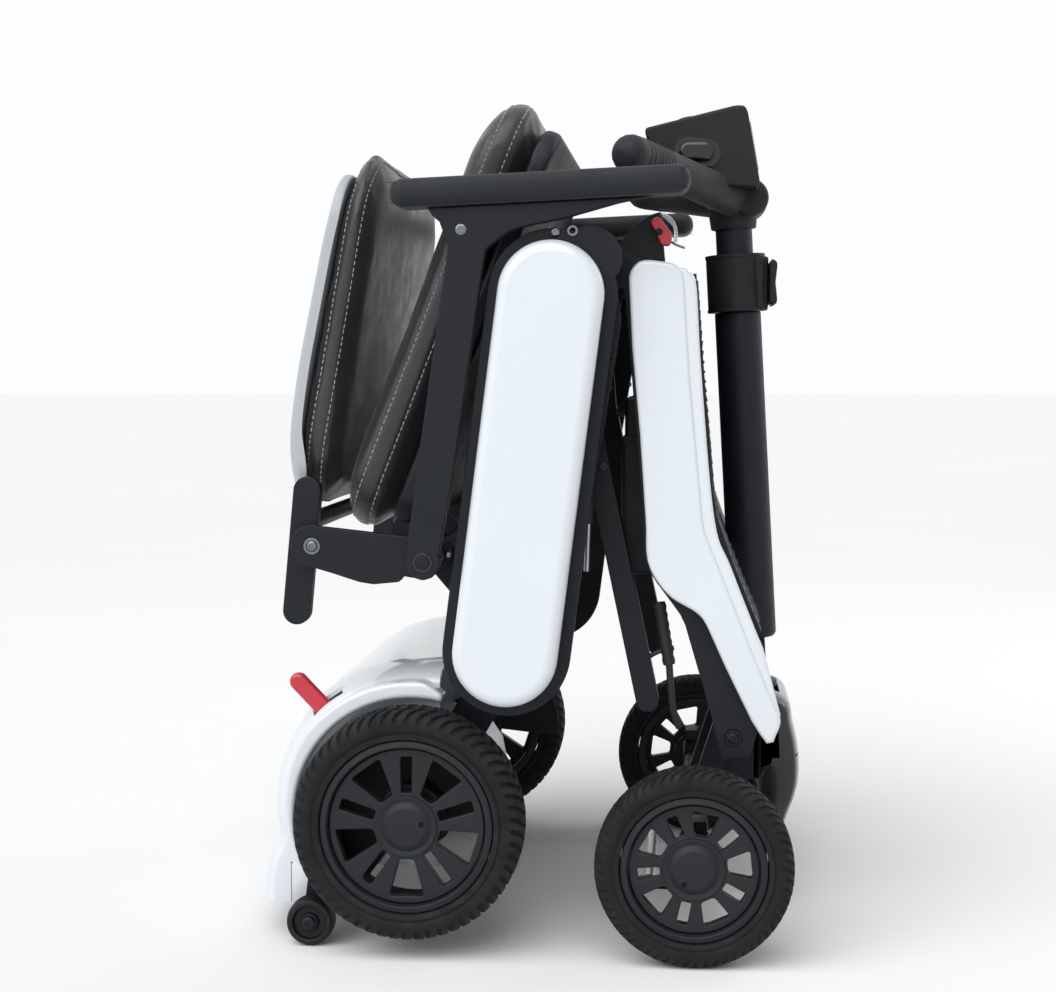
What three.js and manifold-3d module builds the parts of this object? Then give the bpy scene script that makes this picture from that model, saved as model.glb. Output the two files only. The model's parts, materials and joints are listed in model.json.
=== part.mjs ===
// A four-wheel mobility scooter, folded upright for storage.
// Millimetres. +X is forward, +Y is the rider's left, +Z is up.
// The origin is on the floor, straight below the middle of the rear axle.
import * as THREE from 'three';
import { mergeVertices } from 'three/addons/utils/BufferGeometryUtils.js';
import Module from 'manifold-3d';

const wasm = await Module();
wasm.setup();

// ---------------------------------------------------------------- driving dimensions

const GAP = 0.3;          // between pieces that touch
const RUNNING = 0.5;      // radial clearance of a pivot

// Wheels: centre, radius and the two faces of the tyre, measured out from the middle.
const REAR_WHEEL = { x: 0, z: 117, radius: 100, rim: 75, inner: 208, outer: 262 };
const FRONT_WHEEL = { x: 245, z: 85, radius: 85, rim: 63, inner: 220, outer: 260 };
const WHEEL_SIDES = 22;
const SMALL_WHEEL = { x: -92, z: 21, radius: 21, inner: 201, outer: 223 };

// Pivots in the side view, [x, z].
const AXLE = [REAR_WHEEL.x, REAR_WHEEL.z];
const FRAME_PIVOT = [84, 262];
const APEX = [155, 600];
const DECK_PIVOT = [278, 188];
const SEAT_PIVOT = [14, 343];
const BACK_PIVOT = [-84, 355];
const LEVER_PIVOT = [-58, 180];
const LATCH_PIVOT = [212, 624];

// The long round-ended covers of the rear frame.
const POD_LOW = [84, 265.5];
const POD_HIGH = [123.5, 570];
const POD_RADIUS = 45;
const BACKING_RADIUS = 55;

// Layers across the scooter, each as distances out from the middle.
const POD_LAYER = [238, 262];
const BACKING_LAYER = [229.6, 237.6];
const ARM_LAYER = [206, 222];
const POST_LAYER = [238.4, 250];
const BRACKET_LAYER = [226, 236];
const BACK_BAR_LAYER = [210, 222];
const PANEL_LAYER = [204, 224];
const SIDE_PLATE_LAYER = [192, 202];
const LATCH_LAYER = [180, 190];
const STRUT_LAYER = [160, 178];
const SUBFRAME_LAYER = [150, 162];
const PAD_LAYER = [214, 264];
const CUSHION_HALF = 203;

// The tiller's axis runs through these two points in the side view.
const TILLER_LOW = [301.8, 226];
const TILLER_HIGH = [281.1, 597];
const TILLER_RADIUS = 22;
const UPPER_TUBE_RADIUS = 17.4;
const SEAT_ANGLE = THREE.MathUtils.degToRad(-68.5);
const KINGPIN_Y = 200;

const SIDES = [['right', -1], ['left', 1]];

// ---------------------------------------------------------------- materials

function finish(color, roughness, metalness = 0) {
  return new THREE.MeshStandardMaterial({ color, roughness, metalness });
}

const FRAME_BLACK = finish(0x24282e, 0.45, 0.3);
const BARE_ALLOY = finish(0x9a9da1, 0.4, 0.9);
const GLOSS_WHITE = finish(0xe4e8ec, 0.12);
const GLOSS_BLACK = finish(0x15171a, 0.15);
const PLASTIC_BLACK = finish(0x26292d, 0.6);
const TYRE_RUBBER = finish(0x2c2e31, 0.85);
const GRIP_RUBBER = finish(0x1f2226, 0.8);
const LEATHERETTE = finish(0x34373b, 0.55);
const SHELL_GREY = finish(0xa9adb1, 0.45);
const LEVER_RED = finish(0xc2303f, 0.35);

// ---------------------------------------------------------------- shapes and solids

// Turns a list of [x, z] corners into a closed outline.
function outline(corners) {
  return new THREE.Shape(corners.map(([x, z]) => new THREE.Vector2(x, z)));
}

// Round-ended bar between two points of the side view.
function slotShape(from, to, radius) {
  const along = Math.atan2(to[1] - from[1], to[0] - from[0]);
  const shape = new THREE.Shape();
  shape.absarc(to[0], to[1], radius, along - Math.PI / 2, along + Math.PI / 2, false);
  shape.absarc(from[0], from[1], radius, along + Math.PI / 2, along + Math.PI * 1.5, false);
  return shape;
}

// Outline of a strip of even thickness along a line of [x, z] points.
function stripShape(line, thickness) {
  const points = line.map(([x, z]) => new THREE.Vector2(x, z));
  const offsets = points.map((point, i) => {
    const before = points[Math.max(i - 1, 0)];
    const after = points[Math.min(i + 1, points.length - 1)];
    const along = after.clone().sub(before).normalize();
    return new THREE.Vector2(-along.y, along.x).multiplyScalar(thickness / 2);
  });
  const one = points.map((point, i) => point.clone().add(offsets[i]));
  const other = points.map((point, i) => point.clone().sub(offsets[i]));
  return new THREE.Shape([...one, ...other.reverse()]);
}

// Extrudes a side-view outline across the scooter, from y = low to y = high.
function plate(shape, [low, high], { bevel = 0, rings = 1, curve = 4 } = {}) {
  const geometry = new THREE.ExtrudeGeometry(shape, {
    depth: high - low - 2 * bevel,
    steps: 1,
    curveSegments: curve,
    bevelEnabled: bevel > 0,
    bevelThickness: bevel,
    bevelSize: bevel,
    bevelOffset: -bevel,
    bevelSegments: rings,
  });
  geometry.rotateX(Math.PI / 2);
  geometry.translate(0, high - bevel, 0);
  return geometry;
}

// A layer given as distances out from the middle, on the right (-1) or the left (+1).
function layer([inner, outer], side) {
  return side > 0 ? [inner, outer] : [-outer, -inner];
}

function bothWays(half) {
  return [-half, half];
}

// Round bar across the scooter.
function crossBar([x, z], radius, [low, high], sides = 12) {
  const geometry = new THREE.CylinderGeometry(radius, radius, high - low, sides);
  geometry.translate(x, (low + high) / 2, z);
  return geometry;
}

// Round bar between any two points.
function rod(from, to, radius, sides = 12) {
  const a = new THREE.Vector3(...from);
  const b = new THREE.Vector3(...to);
  const along = b.clone().sub(a);
  const geometry = new THREE.CylinderGeometry(radius, radius, along.length(), sides);
  const turn = new THREE.Quaternion();
  turn.setFromUnitVectors(new THREE.Vector3(0, 1, 0), along.clone().normalize());
  geometry.applyQuaternion(turn);
  geometry.translate(...a.add(b).multiplyScalar(0.5).toArray());
  return geometry;
}

function block([x0, x1], [y0, y1], [z0, z1]) {
  const geometry = new THREE.BoxGeometry(x1 - x0, y1 - y0, z1 - z0);
  geometry.translate((x0 + x1) / 2, (y0 + y1) / 2, (z0 + z1) / 2);
  return geometry;
}

// Turned piece about the y axis, from [radius, y] points.
function turned(profile, sides = 24) {
  const points = profile.map(([radius, y]) => new THREE.Vector2(radius, y));
  return new THREE.LatheGeometry(points, sides);
}

// Round bar along a smooth curve.
function bentBar(points, radius, { sides = 10, steps = 16 } = {}) {
  const curve = new THREE.CatmullRomCurve3(points.map((p) => new THREE.Vector3(...p)));
  const section = new THREE.Shape();
  section.absarc(0, 0, radius, 0, Math.PI * 2, false);
  return new THREE.ExtrudeGeometry(section, {
    steps,
    curveSegments: sides / 2,
    extrudePath: curve,
  });
}

function volumeOf(positions, index) {
  let volume = 0;
  const [a, b, c] = [new THREE.Vector3(), new THREE.Vector3(), new THREE.Vector3()];
  for (let i = 0; i < index.count; i += 3) {
    a.fromBufferAttribute(positions, index.getX(i));
    b.fromBufferAttribute(positions, index.getX(i + 1));
    c.fromBufferAttribute(positions, index.getX(i + 2));
    volume += a.dot(b.cross(c)) / 6;
  }
  return volume;
}

// Closed geometry with shared vertices, no thin slivers and its faces pointing out.
function closed(source) {
  const bare = source.clone();
  bare.deleteAttribute('normal');
  bare.deleteAttribute('uv');
  const merged = mergeVertices(bare, 1e-3);
  const corners = merged.index.array;
  const kept = [];
  for (let i = 0; i < corners.length; i += 3) {
    const [p, q, r] = [corners[i], corners[i + 1], corners[i + 2]];
    if (p !== q && q !== r && r !== p) {
      kept.push(p, q, r);
    }
  }
  merged.setIndex(kept);
  if (volumeOf(merged.attributes.position, merged.index) < 0) {
    for (let i = 0; i < kept.length; i += 3) {
      [kept[i + 1], kept[i + 2]] = [kept[i + 2], kept[i + 1]];
    }
    merged.setIndex(kept);
  }
  return merged;
}

function toSolid(source) {
  const geometry = closed(source);
  return new wasm.Manifold(new wasm.Mesh({
    numProp: 3,
    vertProperties: new Float32Array(geometry.attributes.position.array),
    triVerts: new Uint32Array(geometry.index.array),
  }));
}

function toGeometry(solid) {
  const { vertProperties, triVerts } = solid.getMesh();
  const geometry = new THREE.BufferGeometry();
  geometry.setAttribute('position', new THREE.BufferAttribute(vertProperties, 3));
  geometry.setIndex(new THREE.BufferAttribute(triVerts, 1));
  return geometry;
}

function join(first, ...rest) {
  return toGeometry(rest.reduce((solid, next) => solid.add(toSolid(next)), toSolid(first)));
}

function cut(first, ...rest) {
  return toGeometry(rest.reduce((solid, next) => solid.subtract(toSolid(next)), toSolid(first)));
}

function addPart(group, name, geometry, material) {
  const mesh = new THREE.Mesh(closed(geometry), material);
  mesh.name = name;
  group.add(mesh);
  return mesh;
}

// A point on the tiller's axis at a height, and one across it.
function onTiller(z, y = 0) {
  const [x0, z0] = TILLER_LOW;
  const [x1, z1] = TILLER_HIGH;
  return [x0 + ((x1 - x0) * (z - z0)) / (z1 - z0), y, z];
}

// ---------------------------------------------------------------- rear unit

function rearSubframe() {
  const pieces = [];
  for (const [, side] of SIDES) {
    const across = layer(SUBFRAME_LAYER, side);
    pieces.push(plate(slotShape(SEAT_PIVOT, FRAME_PIVOT, 14), across));
    pieces.push(plate(slotShape(FRAME_PIVOT, AXLE, 18), across));
    pieces.push(crossBar(AXLE, 32, across, 16));
  }
  return cut(
    join(
      crossBar(FRAME_PIVOT, 14, bothWays(225)),
      crossBar(FRAME_PIVOT, 8, bothWays(237)),
      crossBar(SEAT_PIVOT, 11, bothWays(225.6)),
      ...pieces,
    ),
    crossBar(AXLE, 24 + GAP, bothWays(170), 16),
  );
}

function axleHousing() {
  const half = [
    [0, 180], [9.4, 180], [9.4, 197], [24, 197], [24, 60], [42, 54], [56, 40],
  ];
  const mirrored = half.map(([radius, y]) => [radius, -y]);
  return turned([...mirrored, ...half.reverse()], 16);
}

function driveMotor() {
  const centre = [-66, 146];
  return cut(
    join(
      crossBar(centre, 36, [64, 146], 16),
      plate(slotShape(centre, AXLE, 34), [61, 80]),
    ),
    crossBar(AXLE, 24 + GAP, [50, 90], 16),
  );
}

// The rear cover's side edge, drawn past the cuts that open its front and bottom.
const COVER_EDGE = [
  [70, 240], [-4, 234], [-32, 230], [-53, 224], [-72, 214], [-89, 199], [-103, 180],
  [-114, 157], [-120, 135], [-121, 112], [-118, 90], [-126, 72], [-130, 52], [-130, 0], [70, 0],
];
const COVER_BULGE = 16;
const COVER_WALL = 4;

function coverBody(wall) {
  const flank = 60 - wall;
  const geometry = new THREE.ExtrudeGeometry(outline(COVER_EDGE), {
    depth: 2 * (CUSHION_HALF - 60),
    steps: 1,
    bevelEnabled: true,
    bevelThickness: flank,
    bevelSize: COVER_BULGE,
    bevelOffset: -wall,
    bevelSegments: 2,
  });
  geometry.rotateX(Math.PI / 2);
  geometry.translate(0, CUSHION_HALF - 60, 0);
  return geometry;
}

function rearCover() {
  const slots = [0, 10, 20].map((degrees) => {
    const slot = plate(leverShape(9.5), [-198, -184]);
    slot.translate(-LEVER_PIVOT[0], 0, -LEVER_PIVOT[1]);
    slot.rotateY(THREE.MathUtils.degToRad(degrees));
    slot.translate(LEVER_PIVOT[0], 0, LEVER_PIVOT[1]);
    return slot;
  });
  return cut(
    coverBody(0),
    coverBody(COVER_WALL),
    block([22, 120], bothWays(300), [-40, 320]),
    block([-220, 120], bothWays(300), [-40, 34]),
    block([-112, 120], bothWays(300), [-40, 70]),
    crossBar(AXLE, 28, bothWays(260), 16),
    ...slots,
  );
}

function leverShape(radius) {
  return slotShape(LEVER_PIVOT, [-106, 230], radius);
}

function seatBracket(side) {
  const body = outline([
    [-89, 373], [-56, 369.7], [-3, 364], [14, 358], [28, 346], [24, 332], [10, 328],
    [-4, 329.7], [-10, 324.5], [-31, 322.5], [-66, 331.6], [-92, 339],
  ]);
  return join(
    plate(body, layer(BRACKET_LAYER, side)),
    crossBar(BACK_PIVOT, 18.6, layer(BRACKET_LAYER, side)),
    crossBar(BACK_PIVOT, 6, layer([209, 230], side)),
    crossBar(SEAT_PIVOT, 6, layer([230, 251], side)),
  );
}

function antiTipArm(side) {
  const across = layer([186, 197], side);
  const knee = [-86, 66];
  const foot = [SMALL_WHEEL.x, SMALL_WHEEL.z];
  return cut(
    join(
      crossBar(AXLE, 34, across, 16),
      plate(slotShape(AXLE, knee, 12), across),
      plate(slotShape(knee, foot, 10.5), across),
      crossBar(foot, 4, layer([190, 225], side)),
    ),
    crossBar(AXLE, 24 + GAP, bothWays(230), 16),
  );
}

function smallWheel() {
  const half = (SMALL_WHEEL.outer - SMALL_WHEEL.inner) / 2;
  const r = SMALL_WHEEL.radius;
  return turned([
    [4.4, -half], [r - 2, -half], [r, -half + 2], [r, half - 2], [r - 2, half], [4.4, half],
    [4.4, -half],
  ], 16);
}

// ---------------------------------------------------------------- wheels

function tyre(wheel) {
  const half = (wheel.outer - wheel.inner) / 2;
  const r = wheel.radius;
  return turned([
    [wheel.rim, -half + 3], [r - 9, -half], [r - 2.5, -half + 7], [r, -half + 17],
    [r, half - 17], [r - 2.5, half - 7], [r - 9, half], [wheel.rim, half - 3],
    [wheel.rim, -half + 3],
  ], WHEEL_SIDES);
}

// Rim with a hub, a spoke disc near its outer face and five windows. With a `stub` the hub
// is solid and an axle stub runs that far inward; otherwise it has a `bore`.
function rim(wheel, hub, { stub = 0, bore = 0 }) {
  const half = (wheel.outer - wheel.inner) / 2;
  const barrel = wheel.rim - GAP;
  const face = half - 8;
  const core = stub
    ? [[0, half - 3], [0, -half - stub], [9, -half - stub], [9, -half + 4]]
    : [[0, half - 3], [0, face + 2], [bore, face + 2], [bore, -half + 4]];
  const body = turned([
    ...core, [hub, -half + 4], [hub, face - 8], [barrel - 6, face - 8],
    [barrel - 6, -half + 4], [barrel, -half + 3], [barrel, half - 3], [barrel - 6, half - 4],
    [barrel - 6, face], [hub, face + 3], [hub, half - 3], core[0],
  ], WHEEL_SIDES);
  const windows = [];
  for (let i = 0; i < 5; i += 1) {
    const window = plate(outline([
      [hub + 7, -6], [barrel - 10, -15], [barrel - 10, 15], [hub + 7, 6],
    ]), [face - 12, face + 6]);
    window.rotateY(THREE.MathUtils.degToRad(-54 - 72 * i));
    windows.push(window);
  }
  return cut(body, ...windows);
}

function addWheel(group, end, side, wheel, hub, options) {
  const centre = new THREE.Group();
  const middle = (wheel.inner + wheel.outer) / 2;
  centre.position.set(wheel.x, side[1] * middle, wheel.z);
  if (side[1] < 0) {
    centre.rotation.z = Math.PI;
  }
  addPart(centre, `${end}_tyre_${side[0]}`, tyre(wheel), TYRE_RUBBER);
  addPart(centre, `${end}_rim_${side[0]}`, rim(wheel, hub, options), PLASTIC_BLACK);
  group.add(centre);
}

// ---------------------------------------------------------------- rear frame

function frameSide(side) {
  const arm = [[166, 548], [141, 395]];
  return cut(
    join(
      plate(slotShape(POD_LOW, POD_HIGH, BACKING_RADIUS), layer(BACKING_LAYER, side), {
        curve: 6,
      }),
      crossBar(APEX, 27, layer(BACKING_LAYER, side), 16),
      crossBar(APEX, 20, layer([ARM_LAYER[0], BACKING_LAYER[0] + 1], side), 16),
      plate(slotShape(APEX, arm[0], 15), layer(ARM_LAYER, side)),
      plate(slotShape(arm[0], arm[1], 15), layer(ARM_LAYER, side)),
    ),
    crossBar(FRAME_PIVOT, 8 + RUNNING, bothWays(300)),
    crossBar(APEX, 12 + GAP, bothWays(BACKING_LAYER[0])),
  );
}

function frameCover(side) {
  return plate(slotShape(POD_LOW, POD_HIGH, POD_RADIUS), layer(POD_LAYER, side), {
    bevel: 9,
    rings: 1,
    curve: 6,
  });
}

// ---------------------------------------------------------------- deck frame

const PANEL_EDGE = [
  [187, 583], [190, 526], [197, 450], [202, 379], [206.5, 335.5], [221, 315], [251, 294],
  [259, 278.5], [270, 254], [293, 207], [306, 187.5], [312, 189], [317, 211], [296, 260.5],
  [281, 299], [266, 336], [250.7, 380], [245.4, 435], [239, 503], [234.5, 575], [230, 592],
  [213, 598], [194, 596.5],
];

// Middle line of the foot deck's floor, from its top end down.
const FLOOR_LINE = [
  [240, 588], [247, 503], [253, 435], [259, 380], [274, 338], [289, 301], [298, 280],
];

function deckSidePlate(side) {
  const body = outline([
    [150, 616], [168, 617], [205, 598], [226, 585], [231, 503], [238, 435], [243, 380],
    [258, 336], [273, 299], [292, 258], [301, 206], [292, 172], [268, 169], [258, 211],
    [245, 256], [236, 286], [220, 311], [204, 334], [199, 380], [193, 450], [187, 526],
    [182, 575], [160, 580],
  ]);
  return cut(
    join(
      plate(body, layer(SIDE_PLATE_LAYER, side)),
      crossBar(APEX, 22, layer(SIDE_PLATE_LAYER, side), 16),
    ),
    crossBar(APEX, 12 + RUNNING, bothWays(300)),
    crossBar(DECK_PIVOT, 7 + RUNNING, bothWays(300)),
  );
}

function deckStrut(side) {
  const knee = [149, 470];
  const across = layer(STRUT_LAYER, side);
  return cut(
    join(
      crossBar(APEX, 20, across, 16),
      plate(slotShape(APEX, knee, 10), across),
      plate(slotShape(knee, [203, 215], 10), across),
    ),
    crossBar(APEX, 12 + RUNNING, bothWays(300)),
  );
}

function deckFloor() {
  return cut(
    plate(stripShape(FLOOR_LINE, 8), bothWays(CUSHION_HALF)),
    block([200, 340], bothWays(42), [200, 368]),
  );
}

function batteryBox() {
  return join(
    block([178, 226], bothWays(150), [324, 444]),
    block([181, 226], bothWays(147), [443, 481]),
  );
}

function latchBracket() {
  const body = outline([
    [171, 606], [180, 618], [193, 632], [206, 640], [213, 642], [217, 600], [214, 590],
    [190, 588], [180, 596],
  ]);
  return join(
    plate(body, [-190, -180]),
    crossBar(LATCH_PIVOT, 3, [-203, -182], 12),
  );
}

function latchLever() {
  const body = outline([
    [204, 634], [211, 640], [223, 626], [221, 614], [211, 613], [207, 622],
  ]);
  return cut(
    plate(body, [-201, -190.5], { bevel: 1.5 }),
    crossBar(LATCH_PIVOT, 3 + RUNNING, [-210, -180], 12),
  );
}

// ---------------------------------------------------------------- front unit

const HEAD_BOTTOM = 104;
const HEAD_TOP = 184;

function frontChassis() {
  const axle = [FRONT_WHEEL.x, FRONT_WHEEL.z];
  const webs = SIDES.map(
    ([, side]) => plate(slotShape(DECK_PIVOT, axle, 12), layer([60, 72], side)),
  );
  const sleeves = SIDES.map(([, side]) => rod(
    [axle[0], side * KINGPIN_Y, 66],
    [axle[0], side * KINGPIN_Y, 104],
    13,
  ));
  const bores = SIDES.map(([, side]) => rod(
    [axle[0], side * KINGPIN_Y, 40],
    [axle[0], side * KINGPIN_Y, 130],
    7 + RUNNING,
  ));
  return cut(
    join(
      crossBar(DECK_PIVOT, 11, bothWays(190)),
      crossBar(DECK_PIVOT, 7, bothWays(203)),
      crossBar(axle, 12, bothWays(192)),
      block([262, 300], bothWays(66), [122, 168]),
      rod(onTiller(HEAD_BOTTOM), onTiller(HEAD_TOP), 17, 16),
      ...webs,
      ...sleeves,
    ),
    rod(onTiller(HEAD_BOTTOM - 20), onTiller(HEAD_TOP + 60), 10 + RUNNING, 16),
    ...bores,
  );
}

function frontCover() {
  const outer = outline([
    [300, 202], [322, 202], [331, 196], [337, 174], [342, 150], [342, 116], [335, 102],
    [329, 78], [300, 72],
  ]);
  const inner = outline([
    [280, 230], [325, 230], [326, 194], [332, 173], [337, 150], [337, 117], [330, 104],
    [325, 60], [280, 60],
  ]);
  return cut(
    plate(outer, bothWays(72), { bevel: 5, rings: 1 }),
    plate(inner, bothWays(66)),
  );
}

function knuckle(side) {
  const { x, z } = FRONT_WHEEL;
  return join(
    rod([x, side * KINGPIN_Y, 52], [x, side * KINGPIN_Y, 118], 7),
    block([x - 11, x + 11], layer([191, 219.4], side), [108, 118]),
    block([x - 11, x + 11], layer([191, 219.4], side), [52, 62]),
    block([x - 11, x + 11], layer([214.6, 219.4], side), [53, 117]),
    crossBar([x, z], 8, layer([218, 252], side)),
    block([x - 48, x], layer([186, 200], side), [53, 61]),
  );
}

function tieRod() {
  const [x, z] = [FRONT_WHEEL.x - 40, 57];
  return crossBar([x, z], 5, bothWays(183), 12);
}

// ---------------------------------------------------------------- steering and tiller

const YOKE_EARS = [14.4, 20];

function steeringStem() {
  const [x, z] = TILLER_LOW;
  const ears = SIDES.map(([, side]) => join(
    block([x - 11, x + 11], layer(YOKE_EARS, side), [204, z]),
    crossBar([x, z], 11, layer(YOKE_EARS, side)),
  ));
  return cut(
    join(
      rod(onTiller(96), onTiller(204), 10),
      rod(onTiller(200.5), onTiller(206), 20.5, 16),
      ...ears,
    ),
    crossBar([x, z], 5 + RUNNING, bothWays(30)),
  );
}

function lowerTube() {
  return cut(
    join(
      rod(onTiller(248), onTiller(561.5), TILLER_RADIUS, 16),
      plate(slotShape(TILLER_LOW, [300.3, 252], 10.5), bothWays(14)),
      crossBar(TILLER_LOW, 5, bothWays(21)),
    ),
    rod(onTiller(385), onTiller(600), UPPER_TUBE_RADIUS + RUNNING, 16),
  );
}

function collar() {
  const [x, , z] = onTiller(589);
  return cut(
    join(
      rod(onTiller(562), onTiller(616), 28, 16),
      block([x, x + 30], bothWays(15), [z - 25, z + 25]),
    ),
    rod(onTiller(540), onTiller(640), UPPER_TUBE_RADIUS + RUNNING, 16),
  );
}

function clampLever() {
  const [x, , z] = onTiller(589);
  return block([x + 30.4, x + 38], [-26, 16], [z - 22, z + 22]);
}

function upperTube() {
  return rod(onTiller(392), onTiller(652), UPPER_TUBE_RADIUS, 16);
}

const BAR_RADIUS = 17;
const BAR_HALF = [
  [177, 197, 695.5], [196, 162, 690], [232, 98, 680.5], [268, 32, 671], [280, 0, 667.5],
];

function barPath() {
  const mirrored = BAR_HALF.map(([x, y, z]) => [x, -y, z]);
  return [...mirrored, ...BAR_HALF.slice(0, -1).reverse()];
}

function handlebar() {
  return cut(
    join(
      bentBar(barPath(), BAR_RADIUS),
      rod(onTiller(640), onTiller(668), 21.5, 16),
    ),
    rod(onTiller(600), onTiller(652.4), UPPER_TUBE_RADIUS + GAP, 16),
  );
}

// The console's sloping top runs between these two points.
const CONSOLE_TOP = [[195, 730], [279, 750]];

function dialFrame() {
  const [[x0, z0], [x1, z1]] = CONSOLE_TOP;
  const group = new THREE.Group();
  group.position.set(x0 + (x1 - x0) * 0.45, 0, z0 + (z1 - z0) * 0.45);
  group.rotation.y = -Math.atan2(z1 - z0, x1 - x0);
  return group;
}

function dialDisc(radius, low, high) {
  return rod([0, 0, low], [0, 0, high], radius, 16);
}

function consoleBody() {
  const pocket = dialDisc(15.4, -7, 16);
  const place = dialFrame();
  place.updateMatrix();
  pocket.applyMatrix4(place.matrix);
  const body = outline([
    CONSOLE_TOP[0], [236, 740], CONSOLE_TOP[1], [287, 749.5], [290, 744], [301.5, 680],
    [300, 674], [270, 676], [240, 684], [214, 698], [196, 722],
  ]);
  return cut(
    plate(body, bothWays(62), { bevel: 3 }),
    bentBar(barPath(), BAR_RADIUS + GAP),
    rod(onTiller(630), onTiller(668 + GAP), 21.5 + GAP, 16),
    pocket,
  );
}

function throttleLever(side) {
  return plate(slotShape([236, 707], [250, 707], 9), layer([62.4, 74], side), { bevel: 2 });
}

// ---------------------------------------------------------------- seat, back and arms

// The seat is drawn as it lies in use, with the hinge at the origin, and turned up.
function seatPan() {
  const ears = SIDES.map(
    ([, side]) => plate(slotShape([0, 0], [10, 29], 15), layer([172, 186], side)),
  );
  return cut(
    join(block([6, 384], bothWays(198), [31, 46]), ...ears),
    crossBar([0, 0], 11 + RUNNING, bothWays(260)),
  );
}

function seatCushion() {
  const body = outline([
    [8, 46.4], [386, 46.4], [396, 56], [397, 70], [388, 86], [368, 95], [330, 97.5],
    [40, 95.5], [16, 91], [2, 80], [0, 60],
  ]);
  return plate(body, bothWays(CUSHION_HALF), { bevel: 6, rings: 1 });
}

function backrestFrame() {
  const low = [-101, 297];
  const high = [-91, 402];
  const cross = [-97, 372];
  const bars = [];
  for (const [, side] of SIDES) {
    const across = layer(BACK_BAR_LAYER, side);
    bars.push(plate(slotShape(low, high, 12), across));
    bars.push(crossBar(BACK_PIVOT, 14, across));
  }
  return cut(
    join(crossBar(cross, 8, bothWays(212)), ...bars),
    crossBar(BACK_PIVOT, 6 + RUNNING, bothWays(260)),
  );
}

function backrestShell() {
  const body = outline([
    [-108, 384], [-114, 420], [-112, 445], [-104, 500], [-90, 570], [-76, 640], [-66, 680],
    [-57.5, 678], [-67, 638], [-81, 568], [-95, 498], [-103, 443], [-104.5, 420], [-99.5, 384],
  ]);
  return plate(body, bothWays(CUSHION_HALF));
}

function backrestCushion() {
  const body = outline([
    [-93, 387], [-99, 400], [-103.5, 421], [-102, 443], [-94.2, 498], [-80.2, 568],
    [-66.2, 638], [-56.5, 676], [-48, 694], [-38, 697], [-31, 688], [-33, 645], [-42, 590],
    [-53, 530], [-61, 470], [-67, 415], [-75, 387],
  ]);
  return plate(body, bothWays(CUSHION_HALF), { bevel: 4, rings: 1 });
}

function armrestPost(side) {
  const body = outline([
    [0, 350], [8.1, 413.3], [36, 606], [29.4, 630], [22.6, 636], [19.3, 641.9],
    [207, 650.1], [179.5, 644.6], [133, 631.8], [110, 627.5], [88, 621.3], [76, 613],
    [68, 606], [39.6, 413.5], [28, 350],
  ]);
  return cut(
    join(
      plate(body, layer(POST_LAYER, side)),
      crossBar(SEAT_PIVOT, 15, layer(POST_LAYER, side)),
    ),
    crossBar(SEAT_PIVOT, 6 + RUNNING, bothWays(300)),
  );
}

function armrestPad(side) {
  return plate(slotShape([-0.5, 653.6], [227, 663.6], 11.9), layer(PAD_LAYER, side), {
    bevel: 5,
    rings: 1,
  });
}

// ---------------------------------------------------------------- assembly

function addRearUnit(group) {
  addPart(group, 'rear_subframe', rearSubframe(), FRAME_BLACK);
  addPart(group, 'rear_axle_housing', axleHousing(), BARE_ALLOY)
    .position.set(AXLE[0], 0, AXLE[1]);
  addPart(group, 'drive_motor', driveMotor(), FRAME_BLACK);
  addPart(group, 'rear_cover', rearCover(), GLOSS_WHITE);
  addPart(group, 'freewheel_lever', plate(leverShape(8), [-196, -186], { bevel: 2 }), LEVER_RED);
  for (const side of SIDES) {
    const [word, sign] = side;
    addPart(group, `seat_bracket_${word}`, seatBracket(sign), FRAME_BLACK);
    addPart(group, `anti_tip_arm_${word}`, antiTipArm(sign), FRAME_BLACK);
    const middle = (sign * (SMALL_WHEEL.inner + SMALL_WHEEL.outer)) / 2;
    addPart(group, `anti_tip_wheel_${word}`, smallWheel(), PLASTIC_BLACK)
      .position.set(SMALL_WHEEL.x, middle, SMALL_WHEEL.z);
    addWheel(group, 'rear', side, REAR_WHEEL, 26, { stub: 16 });
  }
}

function addRearFrame(group) {
  const across = bothWays(BACKING_LAYER[0] - GAP);
  addPart(group, 'apex_shaft', crossBar(APEX, 12, across), FRAME_BLACK);
  addPart(group, 'frame_cross_tube', crossBar([110, 420], 12, across), FRAME_BLACK);
  for (const [word, sign] of SIDES) {
    addPart(group, `frame_side_${word}`, frameSide(sign), FRAME_BLACK);
    addPart(group, `frame_cover_${word}`, frameCover(sign), GLOSS_WHITE);
  }
}

function addDeck(group) {
  addPart(group, 'deck_floor', deckFloor(), PLASTIC_BLACK);
  addPart(group, 'battery_box', batteryBox(), PLASTIC_BLACK);
  addPart(group, 'latch_bracket', latchBracket(), FRAME_BLACK);
  addPart(group, 'latch_lever', latchLever(), LEVER_RED);
  for (const [word, sign] of SIDES) {
    const panel = plate(outline(PANEL_EDGE), layer(PANEL_LAYER, sign), { bevel: 4, rings: 1 });
    addPart(group, `deck_side_plate_${word}`, deckSidePlate(sign), FRAME_BLACK);
    addPart(group, `deck_panel_${word}`, panel, GLOSS_WHITE);
    addPart(group, `deck_strut_${word}`, deckStrut(sign), FRAME_BLACK);
  }
}

function addFrontUnit(group) {
  addPart(group, 'front_chassis', frontChassis(), FRAME_BLACK);
  addPart(group, 'front_cover', frontCover(), GLOSS_BLACK);
  addPart(group, 'tie_rod', tieRod(), BARE_ALLOY);
  for (const side of SIDES) {
    addPart(group, `knuckle_${side[0]}`, knuckle(side[1]), FRAME_BLACK);
    addWheel(group, 'front', side, FRONT_WHEEL, 24, { bore: 8.4 });
  }
}

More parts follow.
